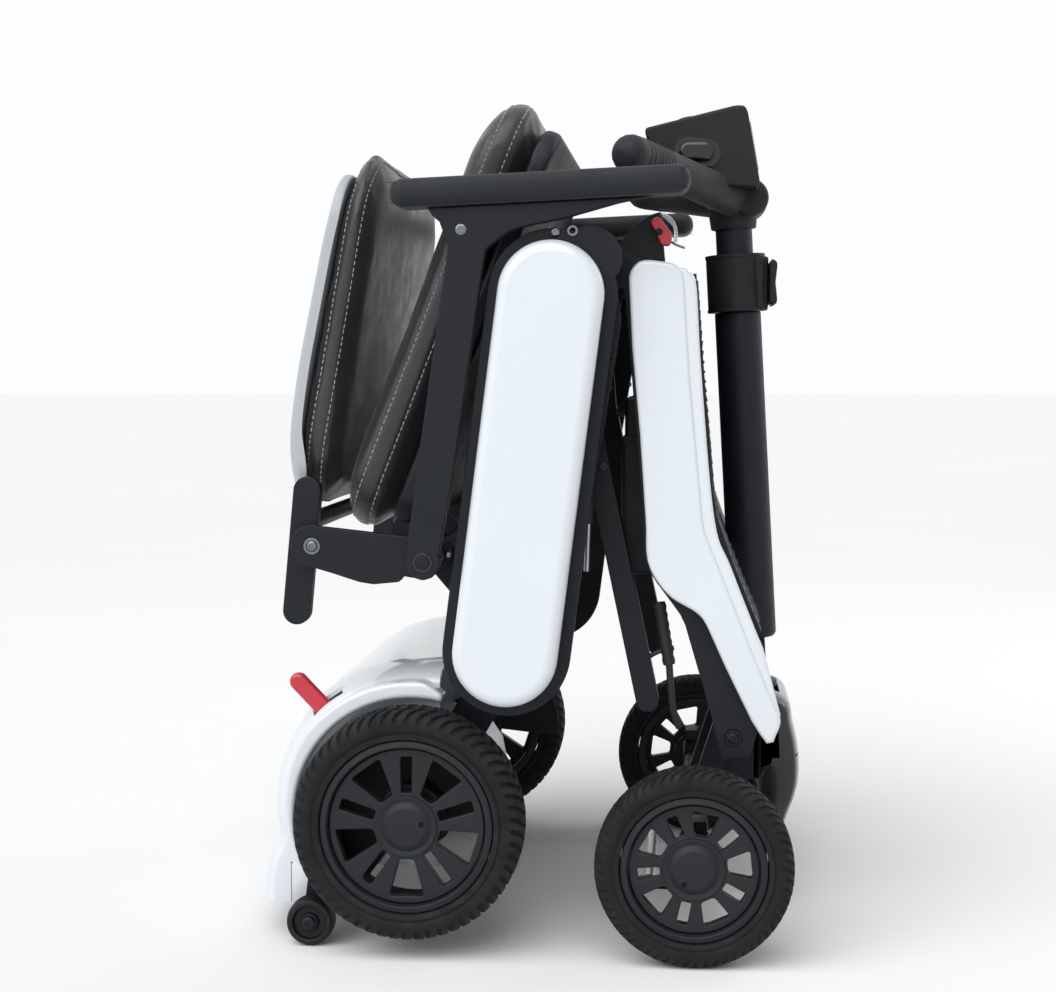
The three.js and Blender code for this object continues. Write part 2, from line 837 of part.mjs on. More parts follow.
function addTiller(group) {
  addPart(group, 'steering_stem', steeringStem(), FRAME_BLACK);
  addPart(group, 'tiller_lower_tube', lowerTube(), FRAME_BLACK);
  addPart(group, 'tiller_collar', collar(), PLASTIC_BLACK);
  addPart(group, 'clamp_lever', clampLever(), PLASTIC_BLACK);
  addPart(group, 'tiller_upper_tube', upperTube(), FRAME_BLACK);
  addPart(group, 'handlebar', handlebar(), GRIP_RUBBER);
  addPart(group, 'console', consoleBody(), PLASTIC_BLACK);
  for (const [word, sign] of SIDES) {
    addPart(group, `throttle_lever_${word}`, throttleLever(sign), PLASTIC_BLACK);
  }
  const top = dialFrame();
  addPart(top, 'speed_dial', dialDisc(14.6, -6.6, -0.6), PLASTIC_BLACK);
  group.add(top);
}

function addSeat(group) {
  const seat = new THREE.Group();
  seat.position.set(SEAT_PIVOT[0], 0, SEAT_PIVOT[1]);
  seat.rotation.y = SEAT_ANGLE;
  addPart(seat, 'seat_pan', seatPan(), FRAME_BLACK);
  addPart(seat, 'seat_cushion', seatCushion(), LEATHERETTE);
  group.add(seat);
  addPart(group, 'backrest_frame', backrestFrame(), FRAME_BLACK);
  addPart(group, 'backrest_shell', backrestShell(), SHELL_GREY);
  addPart(group, 'backrest_cushion', backrestCushion(), LEATHERETTE);
  for (const [word, sign] of SIDES) {
    addPart(group, `armrest_post_${word}`, armrestPost(sign), FRAME_BLACK);
    addPart(group, `armrest_pad_${word}`, armrestPad(sign), GRIP_RUBBER);
  }
}

const scooter = new THREE.Group();
addRearUnit(scooter);
addRearFrame(scooter);
addDeck(scooter);
addFrontUnit(scooter);
addTiller(scooter);
addSeat(scooter);

export default scooter;
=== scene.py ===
"""Looks of a folding four-wheel mobility scooter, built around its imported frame.

Metres. +X is forward, +Y is the rider's left, +Z is up, and the floor is z = 0.
"""
import json
import math

import bmesh
import bpy
from bpy.props import FloatProperty, FloatVectorProperty, IntProperty, PointerProperty
from mathutils import Matrix, Vector
from mathutils.bvhtree import BVHTree
from mathutils.geometry import convex_hull_2d

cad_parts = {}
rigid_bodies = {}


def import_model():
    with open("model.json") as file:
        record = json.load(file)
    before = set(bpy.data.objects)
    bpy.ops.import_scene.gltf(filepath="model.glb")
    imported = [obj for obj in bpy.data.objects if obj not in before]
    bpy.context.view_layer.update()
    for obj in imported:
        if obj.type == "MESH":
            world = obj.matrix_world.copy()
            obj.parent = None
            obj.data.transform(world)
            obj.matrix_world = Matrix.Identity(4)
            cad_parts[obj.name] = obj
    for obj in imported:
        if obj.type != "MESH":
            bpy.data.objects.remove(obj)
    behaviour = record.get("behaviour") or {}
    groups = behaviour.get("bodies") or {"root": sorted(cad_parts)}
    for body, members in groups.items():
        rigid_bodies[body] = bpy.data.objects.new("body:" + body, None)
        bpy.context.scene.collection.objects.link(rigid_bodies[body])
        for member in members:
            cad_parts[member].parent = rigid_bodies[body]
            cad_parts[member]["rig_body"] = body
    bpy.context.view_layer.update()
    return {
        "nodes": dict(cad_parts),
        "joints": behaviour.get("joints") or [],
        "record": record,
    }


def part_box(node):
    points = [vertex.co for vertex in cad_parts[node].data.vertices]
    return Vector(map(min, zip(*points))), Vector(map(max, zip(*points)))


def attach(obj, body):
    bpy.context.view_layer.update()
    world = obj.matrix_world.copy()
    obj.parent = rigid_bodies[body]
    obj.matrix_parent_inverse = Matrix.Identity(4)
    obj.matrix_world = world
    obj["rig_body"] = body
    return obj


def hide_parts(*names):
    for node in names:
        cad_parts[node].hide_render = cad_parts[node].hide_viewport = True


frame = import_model()

bl_info = {
    "name": "Folding Mobility Scooter",
    "version": (1, 0, 0),
    "blender": (4, 5, 0),
    "location": "View3D > Sidebar > Scooter",
    "description": "Builds the visible pieces, finishes and stage of a folded mobility scooter",
    "category": "Object",
}

SIDES = (("right", -1), ("left", 1))
SLOTS = {part["node"]: part["material_slot"] for part in frame["record"]["subparts"]}
JOINTS = {joint["name"]: joint for joint in frame["joints"]}
# Distances below which points of a CAD mesh and of a made mesh count as one, and the angle in
# degrees above which an edge is kept sharp.
WELD, SAME_POINT = 2e-5, 1e-6
SHARP_EDGE = 38
ACROSS = Vector((0, 1, 0))


def body_of(node):
    return frame["nodes"][node]["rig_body"]


def pivot(joint):
    return Vector(JOINTS[joint]["pos_m"])


def centre_of(node):
    low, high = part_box(node)
    return (low + high) / 2


# ---------------------------------------------------------------- outlines


def straightened(loop):
    """A closed outline without the points that lie on a straight stretch."""
    kept = []
    for i, point in enumerate(loop):
        here = Vector(point)
        before = here - Vector(loop[i - 1])
        after = Vector(loop[(i + 1) % len(loop)]) - here
        if before.length < WELD:
            continue
        if after.length < WELD or abs(before.angle_signed(after)) > math.radians(0.8):
            kept.append(point)
    return kept


def section(node, level):
    """Closed outlines, as (x, z) points, where the plane y = level cuts a CAD piece."""
    mesh = bmesh.new()
    mesh.from_mesh(frame["nodes"][node].data)
    bmesh.ops.remove_doubles(mesh, verts=mesh.verts, dist=WELD)
    geometry = mesh.verts[:] + mesh.edges[:] + mesh.faces[:]
    cut = bmesh.ops.bisect_plane(
        mesh, geom=geometry, dist=1e-7, plane_co=(0, level, 0), plane_no=ACROSS
    )
    mesh.edges.index_update()
    cut_edges = [e for e in cut["geom_cut"] if isinstance(e, bmesh.types.BMEdge)]
    waiting = {edge.index: edge for edge in sorted(cut_edges, key=lambda e: e.index)}
    loops = []
    while waiting:
        start, here = waiting.pop(next(iter(waiting))).verts
        loop = [start, here]
        while here != start:
            onward = [edge for edge in here.link_edges if edge.index in waiting]
            if not onward:
                break
            waiting.pop(onward[0].index)
            here = onward[0].other_vert(here)
            loop.append(here)
        loops.append(straightened([(v.co.x, v.co.z) for v in loop[:-1]]))
    mesh.free()
    return [loop for loop in loops if len(loop) > 2]


def rounded(loop, sharp=42, step=5):
    """The same closed outline with its round stretches made smooth; sharper corners stay."""
    points = [Vector(point) for point in loop]
    count = len(points)
    edges = [points[(i + 1) % count] - points[i] for i in range(count)]
    leaving, arriving = [], []
    for i in range(count):
        before, after = edges[i - 1], edges[i]
        if abs(math.degrees(before.angle_signed(after))) > sharp:
            arriving.append(before.normalized())
            leaving.append(after.normalized())
            continue
        if before.length > 2.2 * after.length:
            along = before
        elif after.length > 2.2 * before.length:
            along = after
        else:
            along = before.normalized() * after.length + after.normalized() * before.length
        arriving.append(along.normalized())
        leaving.append(along.normalized())
    smooth = []
    for i, edge in enumerate(edges):
        j = (i + 1) % count
        turn = abs(leaving[i].angle_signed(edge)) + abs(edge.angle_signed(arriving[j]))
        steps = max(1, round(math.degrees(turn) / step))
        for k in range(steps):
            t = k / steps
            smooth.append(
                points[i] * (2 * t**3 - 3 * t**2 + 1)
                + leaving[i] * edge.length * (t**3 - 2 * t**2 + t)
                + points[j] * (3 * t**2 - 2 * t**3)
                + arriving[j] * edge.length * (t**3 - t**2)
            )
    return [tuple(point) for point in smooth]


def filleted(loop, radius, closed=True, steps=4):
    """The same outline with each corner rounded off."""
    result = []
    for i, point in enumerate(loop):
        if not closed and i in (0, len(loop) - 1):
            result.append(tuple(point))
            continue
        here = Vector(point)
        before = Vector(loop[i - 1]) - here
        after = Vector(loop[(i + 1) % len(loop)]) - here
        reach = min(radius, before.length * 0.45, after.length * 0.45)
        first = here + before.normalized() * reach
        last = here + after.normalized() * reach
        for k in range(steps + 1):
            t = k / steps
            result.append(tuple(first.lerp(here, t).lerp(here.lerp(last, t), t)))
    return result


def hull_outline(node):
    """The side view of a CAD piece that has no hollows in its edge."""
    points = [(v.co.x, v.co.z) for v in frame["nodes"][node].data.vertices]
    return straightened([points[i] for i in convex_hull_2d(points)])


def offset_outline(loop, distance):
    """A closed outline moved outward, or inward when the distance is negative."""
    points = [Vector(point) for point in loop]
    area = sum(points[i - 1].cross(points[i]) for i in range(len(points)))
    outward = 1 if area > 0 else -1
    moved = []
    for i, here in enumerate(points):
        along = (points[(i + 1) % len(points)] - points[i - 1]).normalized()
        moved.append(tuple(here + Vector((along.y, -along.x)) * distance * outward))
    return moved


def slot_outline(first, last, radius, steps=20):
    """Round-ended bar between two (x, z) points."""
    first, last = Vector(first), Vector(last)
    start = math.atan2(*(last - first).yx) - math.pi / 2
    loop = []
    for centre, begin in ((last, start), (first, start + math.pi)):
        for k in range(steps + 1):
            angle = begin + math.pi * k / steps
            loop.append(tuple(centre + Vector((math.cos(angle), math.sin(angle))) * radius))
    return loop


def through(points, spacing):
    """Evenly spaced points on a smooth curve through the given ones."""
    knots = [Vector(point) for point in points]
    knots = [knots[0] * 2 - knots[1], *knots, knots[-1] * 2 - knots[-2]]
    fine = []
    for a, b, c, d in zip(knots, knots[1:], knots[2:], knots[3:]):
        steps = max(2, round((c - b).length / spacing))
        for k in range(steps):
            t = k / steps
            fine.append(
                (b * 2 + (c - a) * t + (a * 2 - b * 5 + c * 4 - d) * t**2
                 + (b * 3 - a - c * 3 + d) * t**3) / 2
            )
    return [*fine, knots[-2]]


# ---------------------------------------------------------------- meshes


def joined(meshes):
    """One mesh made of several, which are used up."""
    whole = bmesh.new()
    for mesh in meshes:
        whole.from_mesh(mesh)
        bpy.data.meshes.remove(mesh)
    result = bpy.data.meshes.new("joined")
    whole.to_mesh(result)
    whole.free()
    return result


def finished_mesh(work):
    """A mesh from a bmesh, with its faces turned outward."""
    bmesh.ops.recalc_face_normals(work, faces=work.faces)
    result = bpy.data.meshes.new("made")
    work.to_mesh(result)
    work.free()
    return result


def evaluated(piece):
    """The mesh of a piece with its modifiers applied; the piece itself is removed."""
    bpy.context.view_layer.update()
    graph = bpy.context.evaluated_depsgraph_get()
    result = bpy.data.meshes.new_from_object(piece.evaluated_get(graph))
    bpy.data.objects.remove(piece)
    return result


def placed(data, name="work"):
    piece = bpy.data.objects.new(name, data)
    bpy.context.scene.collection.objects.link(piece)
    return piece


def plate_mesh(loops, low, high, edge, rings=3):
    """A flat piece across the scooter, from y = low to y = high, with rounded edges."""
    thickness = high - low
    edge = min(edge, thickness * 0.45)
    curve = bpy.data.curves.new("plate", "CURVE")
    curve.dimensions = "2D"
    curve.fill_mode = "BOTH"
    curve.extrude = thickness / 2 - edge
    curve.bevel_depth = edge
    curve.bevel_resolution = rings
    curve.offset = -edge
    for loop in loops:
        spline = curve.splines.new("POLY")
        spline.points.add(len(loop) - 1)
        for point, (x, z) in zip(spline.points, loop):
            point.co = (x, z, 0, 1)
        spline.use_cyclic_u = True
    mesh = evaluated(placed(curve))
    bpy.data.curves.remove(curve)
    turn = Matrix.Rotation(math.pi / 2, 4, "X")
    mesh.transform(Matrix.Translation((0, (low + high) / 2, 0)) @ turn)
    work = bmesh.new()
    work.from_mesh(mesh)
    bpy.data.meshes.remove(mesh)
    bmesh.ops.remove_doubles(work, verts=work.verts, dist=SAME_POINT)
    return finished_mesh(work)


def turned_mesh(profile, centre, axis=ACROSS, segments=72, closed=False):
    """Round piece about an axis, from (radius, distance along the axis) points."""
    work = bmesh.new()
    rings = []
    for radius, along in profile:
        if radius < 1e-6:
            rings.append([work.verts.new((0, 0, along))] * segments)
            continue
        angles = [2 * math.pi * k / segments for k in range(segments)]
        rings.append(
            [work.verts.new((radius * math.cos(a), radius * math.sin(a), along)) for a in angles]
        )
    following = rings[1:] + (rings[:1] if closed else [])
    for first, second in zip(rings, following):
        for k in range(segments):
            n = (k + 1) % segments
            corners = list(dict.fromkeys((first[k], first[n], second[n], second[k])))
            if len(corners) > 2:
                work.faces.new(corners)
    turn = Vector(axis).to_track_quat("Z", "X").to_matrix().to_4x4()
    mesh = finished_mesh(work)
    mesh.transform(Matrix.Translation(centre) @ turn)
    return mesh


def rod_mesh(start, end, radius, edge=0.0008, segments=40):
    """Round bar between two points."""
    along = Vector(end) - Vector(start)
    profile = filleted([(0, 0), (radius, 0), (radius, along.length), (0, along.length)],
                       edge, closed=False, steps=3)
    return turned_mesh(profile, start, along, segments)


def bar_mesh(points, radius, spacing=0.003, sides=24, round_ends=False):
    """Round bar along a smooth curve, with flat or round ends."""
    path = through(points, spacing)
    travelled = [0.0]
    for a, b in zip(path, path[1:]):
        travelled.append(travelled[-1] + (b - a).length)
    curve = bpy.data.curves.new("bar", "CURVE")
    curve.dimensions = "3D"
    curve.bevel_depth = radius
    curve.bevel_resolution = sides // 4
    curve.use_fill_caps = True
    spline = curve.splines.new("POLY")
    spline.points.add(len(path) - 1)
    for point, place, gone in zip(spline.points, path, travelled):
        point.co = (*place, 1)
        left = min(gone, travelled[-1] - gone) / radius
        if round_ends and left < 1:
            point.radius = max(0.04, math.sqrt(1 - (1 - left) ** 2))
    mesh = evaluated(placed(curve))
    bpy.data.curves.remove(curve)
    work = bmesh.new()
    work.from_mesh(mesh)
    bpy.data.meshes.remove(mesh)
    bmesh.ops.remove_doubles(work, verts=work.verts, dist=SAME_POINT)
    return finished_mesh(work)


def block_mesh(low, high, edge, rings=3):
    """Box between two corners with rounded edges."""
    low, high = Vector(low), Vector(high)
    work = bmesh.new()
    size = Matrix.Diagonal((*(high - low), 1))
    bmesh.ops.create_cube(work, size=1, matrix=Matrix.Translation((low + high) / 2) @ size)
    bmesh.ops.bevel(
        work, geom=work.edges[:], offset=edge, segments=rings, profile=0.5, affect="EDGES"
    )
    return finished_mesh(work)


def cutter_block(low, high):
    """Box between two corners that takes space out of another piece."""
    return block_mesh(low, high, 0.0001, 1)


def cut_mesh(mesh, *cutters):
    """The mesh with the cutters' space taken out of it; the cutters are used up."""
    piece = placed(mesh)
    tool = placed(joined(list(cutters)))
    cutter = piece.modifiers.new("cut", "BOOLEAN")
    cutter.operation = "DIFFERENCE"
    cutter.solver = "EXACT"
    cutter.use_self = True
    cutter.object = tool
    result = evaluated(piece)
    bpy.data.meshes.remove(mesh)
    bpy.data.objects.remove(tool)
    return result


THINNEST_LAYER = 3e-4


def formed_mesh(node, edge, sharp=42):
    """A smooth copy of a CAD piece that is made of flat layers across the scooter."""
    levels = sorted({round(v.co.y, 5) for v in frame["nodes"][node].data.vertices})
    layers = []
    for low, high in zip(levels, levels[1:]):
        if high - low < THINNEST_LAYER:
            continue
        loops = section(node, (low + high) / 2)
        shape = sorted((len(loop), round(sum(x + z for x, z in loop), 4)) for loop in loops)
        if layers and layers[-1][3] == shape:
            layers[-1][1] = high
            continue
        layers.append([low, high, loops, shape])
    return joined([
        plate_mesh([rounded(loop, sharp) for loop in loops], low, high, edge)
        for low, high, loops, _ in layers
    ])


def refined_mesh(node, edge):
    """A copy of a CAD piece with its edges rounded off."""
    work = bmesh.new()
    work.from_mesh(frame["nodes"][node].data)
    bmesh.ops.remove_doubles(work, verts=work.verts, dist=WELD)
    bmesh.ops.dissolve_limit(
        work, angle_limit=math.radians(1), verts=work.verts[:], edges=work.edges[:]
    )
    piece = placed(finished_mesh(work))
    bevel = piece.modifiers.new("edges", "BEVEL")
    bevel.width = edge
    bevel.segments = 2
    bevel.limit_method = "ANGLE"
    bevel.angle_limit = math.radians(SHARP_EDGE)
    source = piece.data
    mesh = evaluated(piece)
    bpy.data.meshes.remove(source)
    return mesh


def add_piece(name, mesh, body, slot, replaced=(), finish=None, smooth=SHARP_EDGE,
              weighted=True):
    """Shows a mesh as a piece of the scooter, in a finish, riding on a body."""
    mesh.materials.clear()
    mesh.materials.append(finish_of(finish or slot))
    mesh.shade_smooth()
    mesh.set_sharp_from_angle(angle=math.radians(smooth))
    mesh.name = name
    piece = placed(mesh, name)
    if weighted:
        normals = piece.modifiers.new("normals", "WEIGHTED_NORMAL")
        normals.keep_sharp = True
    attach(piece, body)
    if replaced:
        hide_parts(*replaced)
    return piece


def add_for(node, mesh, **options):
    """Shows a mesh in place of one CAD piece."""
    return add_piece(f"{node}_shown", mesh, body_of(node), SLOTS[node], (node,), **options)


# ---------------------------------------------------------------- settings


def colour(name, description, default):
    return FloatVectorProperty(
        name=name, description=description, default=default, size=3, subtype="COLOR",
        min=0, max=1,
    )


def length(name, description, default):
    return FloatProperty(
        name=name, description=description, default=default, unit="LENGTH", min=0
    )


class ScooterSizes(bpy.types.PropertyGroup):
    """Sizes of the details that the frame leaves open."""

    edge: length("Plate edge", "Rounding of the frame plates' edges", 0.0009)
    pod_edge: length("Cover edge", "Rounding of the long frame covers", 0.0115)
    panel_edge: length("Panel edge", "Rounding of the deck's side panels", 0.0035)
    lug_depth: length("Lug depth", "Depth of the tyre tread", 0.0028)
    rear_lugs: IntProperty(name="Rear lugs", description="Lugs round a rear tyre", default=56, min=8)
    front_lugs: IntProperty(name="Front lugs", description="Lugs round a front tyre", default=60, min=8)
    swell: length("Cushion swell", "Furthest that a cushion bulges", 0.008)
    stitch: length("Stitch", "Length of one stitch", 0.0040)
    stitch_gap: length("Stitch gap", "Space between stitches", 0.0015)
    rib_pitch: length("Mat rib pitch", "Distance between the ribs of the foot mat", 0.008)


class ScooterColours(bpy.types.PropertyGroup):
    """Colours of the scooter's finishes."""

    paint: colour("Frame paint", "Powder coat of the frame", (0.0062, 0.0082, 0.0120))
    white: colour("Covers", "Gloss white plastic", (0.70, 0.745, 0.785))
    black: colour("Gloss black", "Gloss black plastic", (0.007, 0.008, 0.010))
    plastic: colour("Black plastic", "Moulded plastic", (0.0066, 0.0078, 0.0100))
    wheel: colour("Wheels", "Moulded wheel plastic", (0.0100, 0.0118, 0.0145))
    tyre: colour("Tyres", "Solid tyre rubber", (0.0085, 0.0095, 0.0112))
    grip: colour("Grips", "Soft rubber of grips and pads", (0.0100, 0.0125, 0.0155))
    leather: colour("Seat", "Leatherette", (0.0150, 0.0172, 0.0190))
    thread: colour("Thread", "Stitching", (0.36, 0.38, 0.39))
    # Also the colour of the console's light grey bars, which are a painted highlight.
    shell: colour("Back shell", "Light grey shell behind the backrest", (0.43, 0.45, 0.47))
    red: colour("Levers", "Red release levers", (0.56, 0.022, 0.045))
    floor: colour("Floor", "Stage floor", (0.93, 0.93, 0.93))


# ---------------------------------------------------------------- finishes


def new_group(name, inputs, output):
    """An empty shader group with its named sockets; `output` is (label, type)."""
    group = bpy.data.node_groups.new(name, "ShaderNodeTree")
    for label, kind, default in inputs:
        socket = group.interface.new_socket(label, in_out="INPUT", socket_type=kind)
        socket.default_value = default
    label, kind = output
    group.interface.new_socket(label, in_out="OUTPUT", socket_type=kind)
    return group, group.nodes.new("NodeGroupInput"), group.nodes.new("NodeGroupOutput")


def noise_in(group, scale_from, detail=3.0):
    """A noise texture on the piece's own coordinates, with its scale linked."""
    place = group.nodes.new("ShaderNodeTexCoord")
    noise = group.nodes.new("ShaderNodeTexNoise")
    noise.inputs["Detail"].default_value = detail
    noise.inputs["Roughness"].default_value = 0.55
    group.links.new(place.outputs["Object"], noise.inputs["Vector"])
    group.links.new(scale_from, noise.inputs["Scale"])
    return noise.outputs["Fac"]


def mapped(group, value, low, high, new_low=0.0, new_high=1.0):
    """Maps a value's range; each new end is a number or a socket."""
    remap = group.nodes.new("ShaderNodeMapRange")
    group.links.new(value, remap.inputs["Value"])
    remap.inputs["From Min"].default_value = low
    remap.inputs["From Max"].default_value = high
    for label, end in (("To Min", new_low), ("To Max", new_high)):
        if isinstance(end, (int, float)):
            remap.inputs[label].default_value = end
        else:
            group.links.new(end, remap.inputs[label])
    return remap.outputs["Result"]


def calculated(group, operation, first, second):
    node = group.nodes.new("ShaderNodeMath")
    node.operation = operation
    for socket, value in zip(node.inputs, (first, second)):
        if isinstance(value, (int, float)):
            socket.default_value = value
        else:
            group.links.new(value, socket)
    return node.outputs[0]


def mottle_group():
    """A value that drifts between Low and High over the surface."""
    group, given, result = new_group(
        "mottle",
        [("Scale", "NodeSocketFloat", 20.0), ("Low", "NodeSocketFloat", 0.4),
         ("High", "NodeSocketFloat", 0.6)],
        ("Value", "NodeSocketFloat"),
    )
    noise = noise_in(group, given.outputs["Scale"])
    value = mapped(group, noise, 0.3, 0.7, given.outputs["Low"], given.outputs["High"])
    group.links.new(value, result.inputs["Value"])
    return group


def grain_group():
    """Height of a fine moulded or powder-coated grain."""
    group, given, result = new_group(
        "grain", [("Scale", "NodeSocketFloat", 900.0)], ("Height", "NodeSocketFloat")
    )
    noise = noise_in(group, given.outputs["Scale"], detail=2.0)
    group.links.new(noise, result.inputs["Height"])
    return group


def pebble_group():
    """Height of leather grain: small pillows with creases between them."""
    group, given, result = new_group(
        "pebble", [("Scale", "NodeSocketFloat", 420.0)], ("Height", "NodeSocketFloat")
    )
    place = group.nodes.new("ShaderNodeTexCoord")
    cells = group.nodes.new("ShaderNodeTexVoronoi")
    cells.feature = "DISTANCE_TO_EDGE"
    group.links.new(place.outputs["Object"], cells.inputs["Vector"])
    group.links.new(given.outputs["Scale"], cells.inputs["Scale"])
    crease = mapped(group, cells.outputs["Distance"], 0.0, 0.28)
    broad = calculated(group, "MULTIPLY", given.outputs["Scale"], 0.12)
    wrinkle = mapped(group, noise_in(group, broad, detail=4.0), 0.25, 0.75)
    height = calculated(group, "ADD", crease, calculated(group, "MULTIPLY", wrinkle, 0.8))
    group.links.new(height, result.inputs["Height"])
    return group


def wear_group():
    """Mask of the places on edges where a finish is rubbed lighter."""
    group, given, result = new_group(
        "wear", [("Amount", "NodeSocketFloat", 0.5)], ("Mask", "NodeSocketFloat")
    )
    shape = group.nodes.new("ShaderNodeNewGeometry")
    edge = mapped(group, shape.outputs["Pointiness"], 0.515, 0.60)
    scale = group.nodes.new("ShaderNodeValue")
    scale.outputs[0].default_value = 55.0
    patchy = mapped(group, noise_in(group, scale.outputs[0]), 0.35, 0.65)
    mask = calculated(group, "MULTIPLY", edge, patchy)
    mask = calculated(group, "MULTIPLY", mask, given.outputs["Amount"])
    group.links.new(mask, result.inputs["Mask"])
    return group


def tone_group():
    """A colour with slow lighter and darker patches and a light tint on worn places."""
    group, given, result = new_group(
        "tone",
        [("Colour", "NodeSocketColor", (0.5, 0.5, 0.5, 1)),
         ("Worn", "NodeSocketColor", (0.8, 0.8, 0.8, 1)),
         ("Depth", "NodeSocketFloat", 0.1), ("Scale", "NodeSocketFloat", 12.0),
         ("Mask", "NodeSocketFloat", 0.0)],
        ("Colour", "NodeSocketColor"),
    )
    noise = noise_in(group, given.outputs["Scale"], detail=4.0)
    drift = mapped(group, noise, 0.3, 0.7, 1.0, calculated(group, "SUBTRACT", 1.0, given.outputs["Depth"]))
    shade = group.nodes.new("ShaderNodeVectorMath")
    shade.operation = "SCALE"
    group.links.new(given.outputs["Colour"], shade.inputs[0])
    group.links.new(drift, shade.inputs["Scale"])
    blend = group.nodes.new("ShaderNodeMix")
    blend.data_type = "RGBA"
    group.links.new(given.outputs["Mask"], blend.inputs["Factor"])
    group.links.new(shade.outputs[0], blend.inputs[6])
    group.links.new(given.outputs["Worn"], blend.inputs[7])
    group.links.new(blend.outputs[2], result.inputs["Colour"])
    return group


GROUP_MAKERS = {
    "mottle": mottle_group, "grain": grain_group, "pebble": pebble_group,
    "wear": wear_group, "tone": tone_group,
}


def effect(tree, name, **values):
    """One of the shared groups, placed in a material with its own values."""
    node = tree.nodes.new("ShaderNodeGroup")
    node.node_tree = bpy.data.node_groups.get(name) or GROUP_MAKERS[name]()
    for label, value in values.items():
        node.inputs[label].default_value = value
    return node


def make_finish(name, base, rough, spread=0.06, metal=0.0, coat=0.0, coat_rough=0.05,
                grain=("grain", 900.0, 0.1), depth=0.12, scale=14.0, wear=0.0,
                worn=(0.3, 0.3, 0.3), sheen=0.0, specular=0.5):
    """A material with drifting tone and roughness, grain in relief and worn edges."""
    material = bpy.data.materials.new(name)
    material.use_nodes = True
    tree = material.node_tree
    surface = tree.nodes["Principled BSDF"]
    surface.inputs["Metallic"].default_value = metal
    surface.inputs["Coat Weight"].default_value = coat
    surface.inputs["Coat Roughness"].default_value = coat_rough
    surface.inputs["Sheen Weight"].default_value = sheen
    surface.inputs["Specular IOR Level"].default_value = specular
    tone = effect(tree, "tone", Colour=(*base, 1), Worn=(*worn, 1), Depth=depth, Scale=scale)
    if wear:
        tree.links.new(effect(tree, "wear", Amount=wear).outputs[0], tone.inputs["Mask"])
    tree.links.new(tone.outputs[0], surface.inputs["Base Color"])
    drift = effect(tree, "mottle", Scale=scale * 2.3, Low=max(rough - spread, 0.02), High=rough + spread)
    tree.links.new(drift.outputs[0], surface.inputs["Roughness"])
    kind, grain_scale, strength = grain
    relief = effect(tree, kind, Scale=grain_scale)
    bump = tree.nodes.new("ShaderNodeBump")
    bump.inputs["Strength"].default_value = strength
    bump.inputs["Distance"].default_value = 0.0006
    tree.links.new(relief.outputs[0], bump.inputs["Height"])
    tree.links.new(bump.outputs[0], surface.inputs["Normal"])
    return material


def clear_finish(name):
    """Clear moulded plastic with a faint haze."""
    material = make_finish(name, (0.93, 0.95, 0.97), 0.08, spread=0.03, depth=0.03)
    surface = material.node_tree.nodes["Principled BSDF"]
    surface.inputs["Transmission Weight"].default_value = 0.85
    return material


def finish_of(name):
    """The named finish, made once."""
    title = f"{name}_finish"
    made = bpy.data.materials.get(title)
    if made:
        return made
    if name == "clear":
        return clear_finish(title)
    tint = bpy.context.scene.scooter_colours
    recipes = {
        "frame_black": dict(base=tint.paint, rough=0.46, grain=("grain", 1300.0, 0.22),
                            wear=0.3, worn=(0.035, 0.040, 0.048), specular=0.25),
        "bare_alloy": dict(base=(0.56, 0.57, 0.585), rough=0.34, metal=1.0,
                           grain=("grain", 700.0, 0.25), depth=0.2),
        "steel": dict(base=(0.22, 0.23, 0.25), rough=0.28, metal=1.0, depth=0.2,
                      grain=("grain", 1500.0, 0.15)),
        "gloss_white": dict(base=tint.white, rough=0.16, spread=0.03, coat=0.6, depth=0.025,
                            scale=6.0, grain=("grain", 60.0, 0.015)),
        "gloss_black": dict(base=tint.black, rough=0.2, spread=0.04, coat=0.35, specular=0.4,
                            grain=("grain", 80.0, 0.02)),
        "plastic_black": dict(base=tint.plastic, rough=0.5, grain=("grain", 1500.0, 0.3),
                              wear=0.25, worn=(0.03, 0.033, 0.038), specular=0.28),
        "wheel_plastic": dict(base=tint.wheel, rough=0.52, grain=("grain", 1100.0, 0.3),
                              wear=0.35, worn=(0.035, 0.038, 0.043), specular=0.3),
        "tyre_rubber": dict(base=tint.tyre, rough=0.76, spread=0.1, depth=0.35, scale=30.0,
                            grain=("grain", 750.0, 0.5), wear=0.5, worn=(0.045, 0.045, 0.044),
                            specular=0.25),
        "grip_rubber": dict(base=tint.grip, rough=0.62, grain=("grain", 1000.0, 0.35),
                            sheen=0.08, depth=0.15, specular=0.3),
        "leatherette": dict(base=tint.leather, rough=0.38, spread=0.07, depth=0.16,
                            grain=("pebble", 480.0, 0.13), sheen=0.12, scale=18.0, specular=0.5),
        "thread": dict(base=tint.thread, rough=0.8, grain=("grain", 2500.0, 0.8), depth=0.25,
                       scale=90.0, sheen=0.3),
        # Also the finish of the console's light grey bars, which are a painted highlight.
        "shell_grey": dict(base=tint.shell, rough=0.38, grain=("grain", 1200.0, 0.15), depth=0.05),
        "lever_red": dict(base=tint.red, rough=0.3, coat=0.3, depth=0.12, scale=30.0,
                          grain=("grain", 400.0, 0.06)),
        "screen": dict(base=(0.03, 0.045, 0.05), rough=0.12, coat=0.8, grain=("grain", 300.0, 0.02)),
        "marking": dict(base=(0.62, 0.64, 0.66), rough=0.5, grain=("grain", 1500.0, 0.1)),
        "cord_black": dict(base=(0.012, 0.012, 0.013), rough=0.6, grain=("grain", 1600.0, 0.4)),
    }
    return make_finish(title, **recipes[name])


# ---------------------------------------------------------------- frame plates

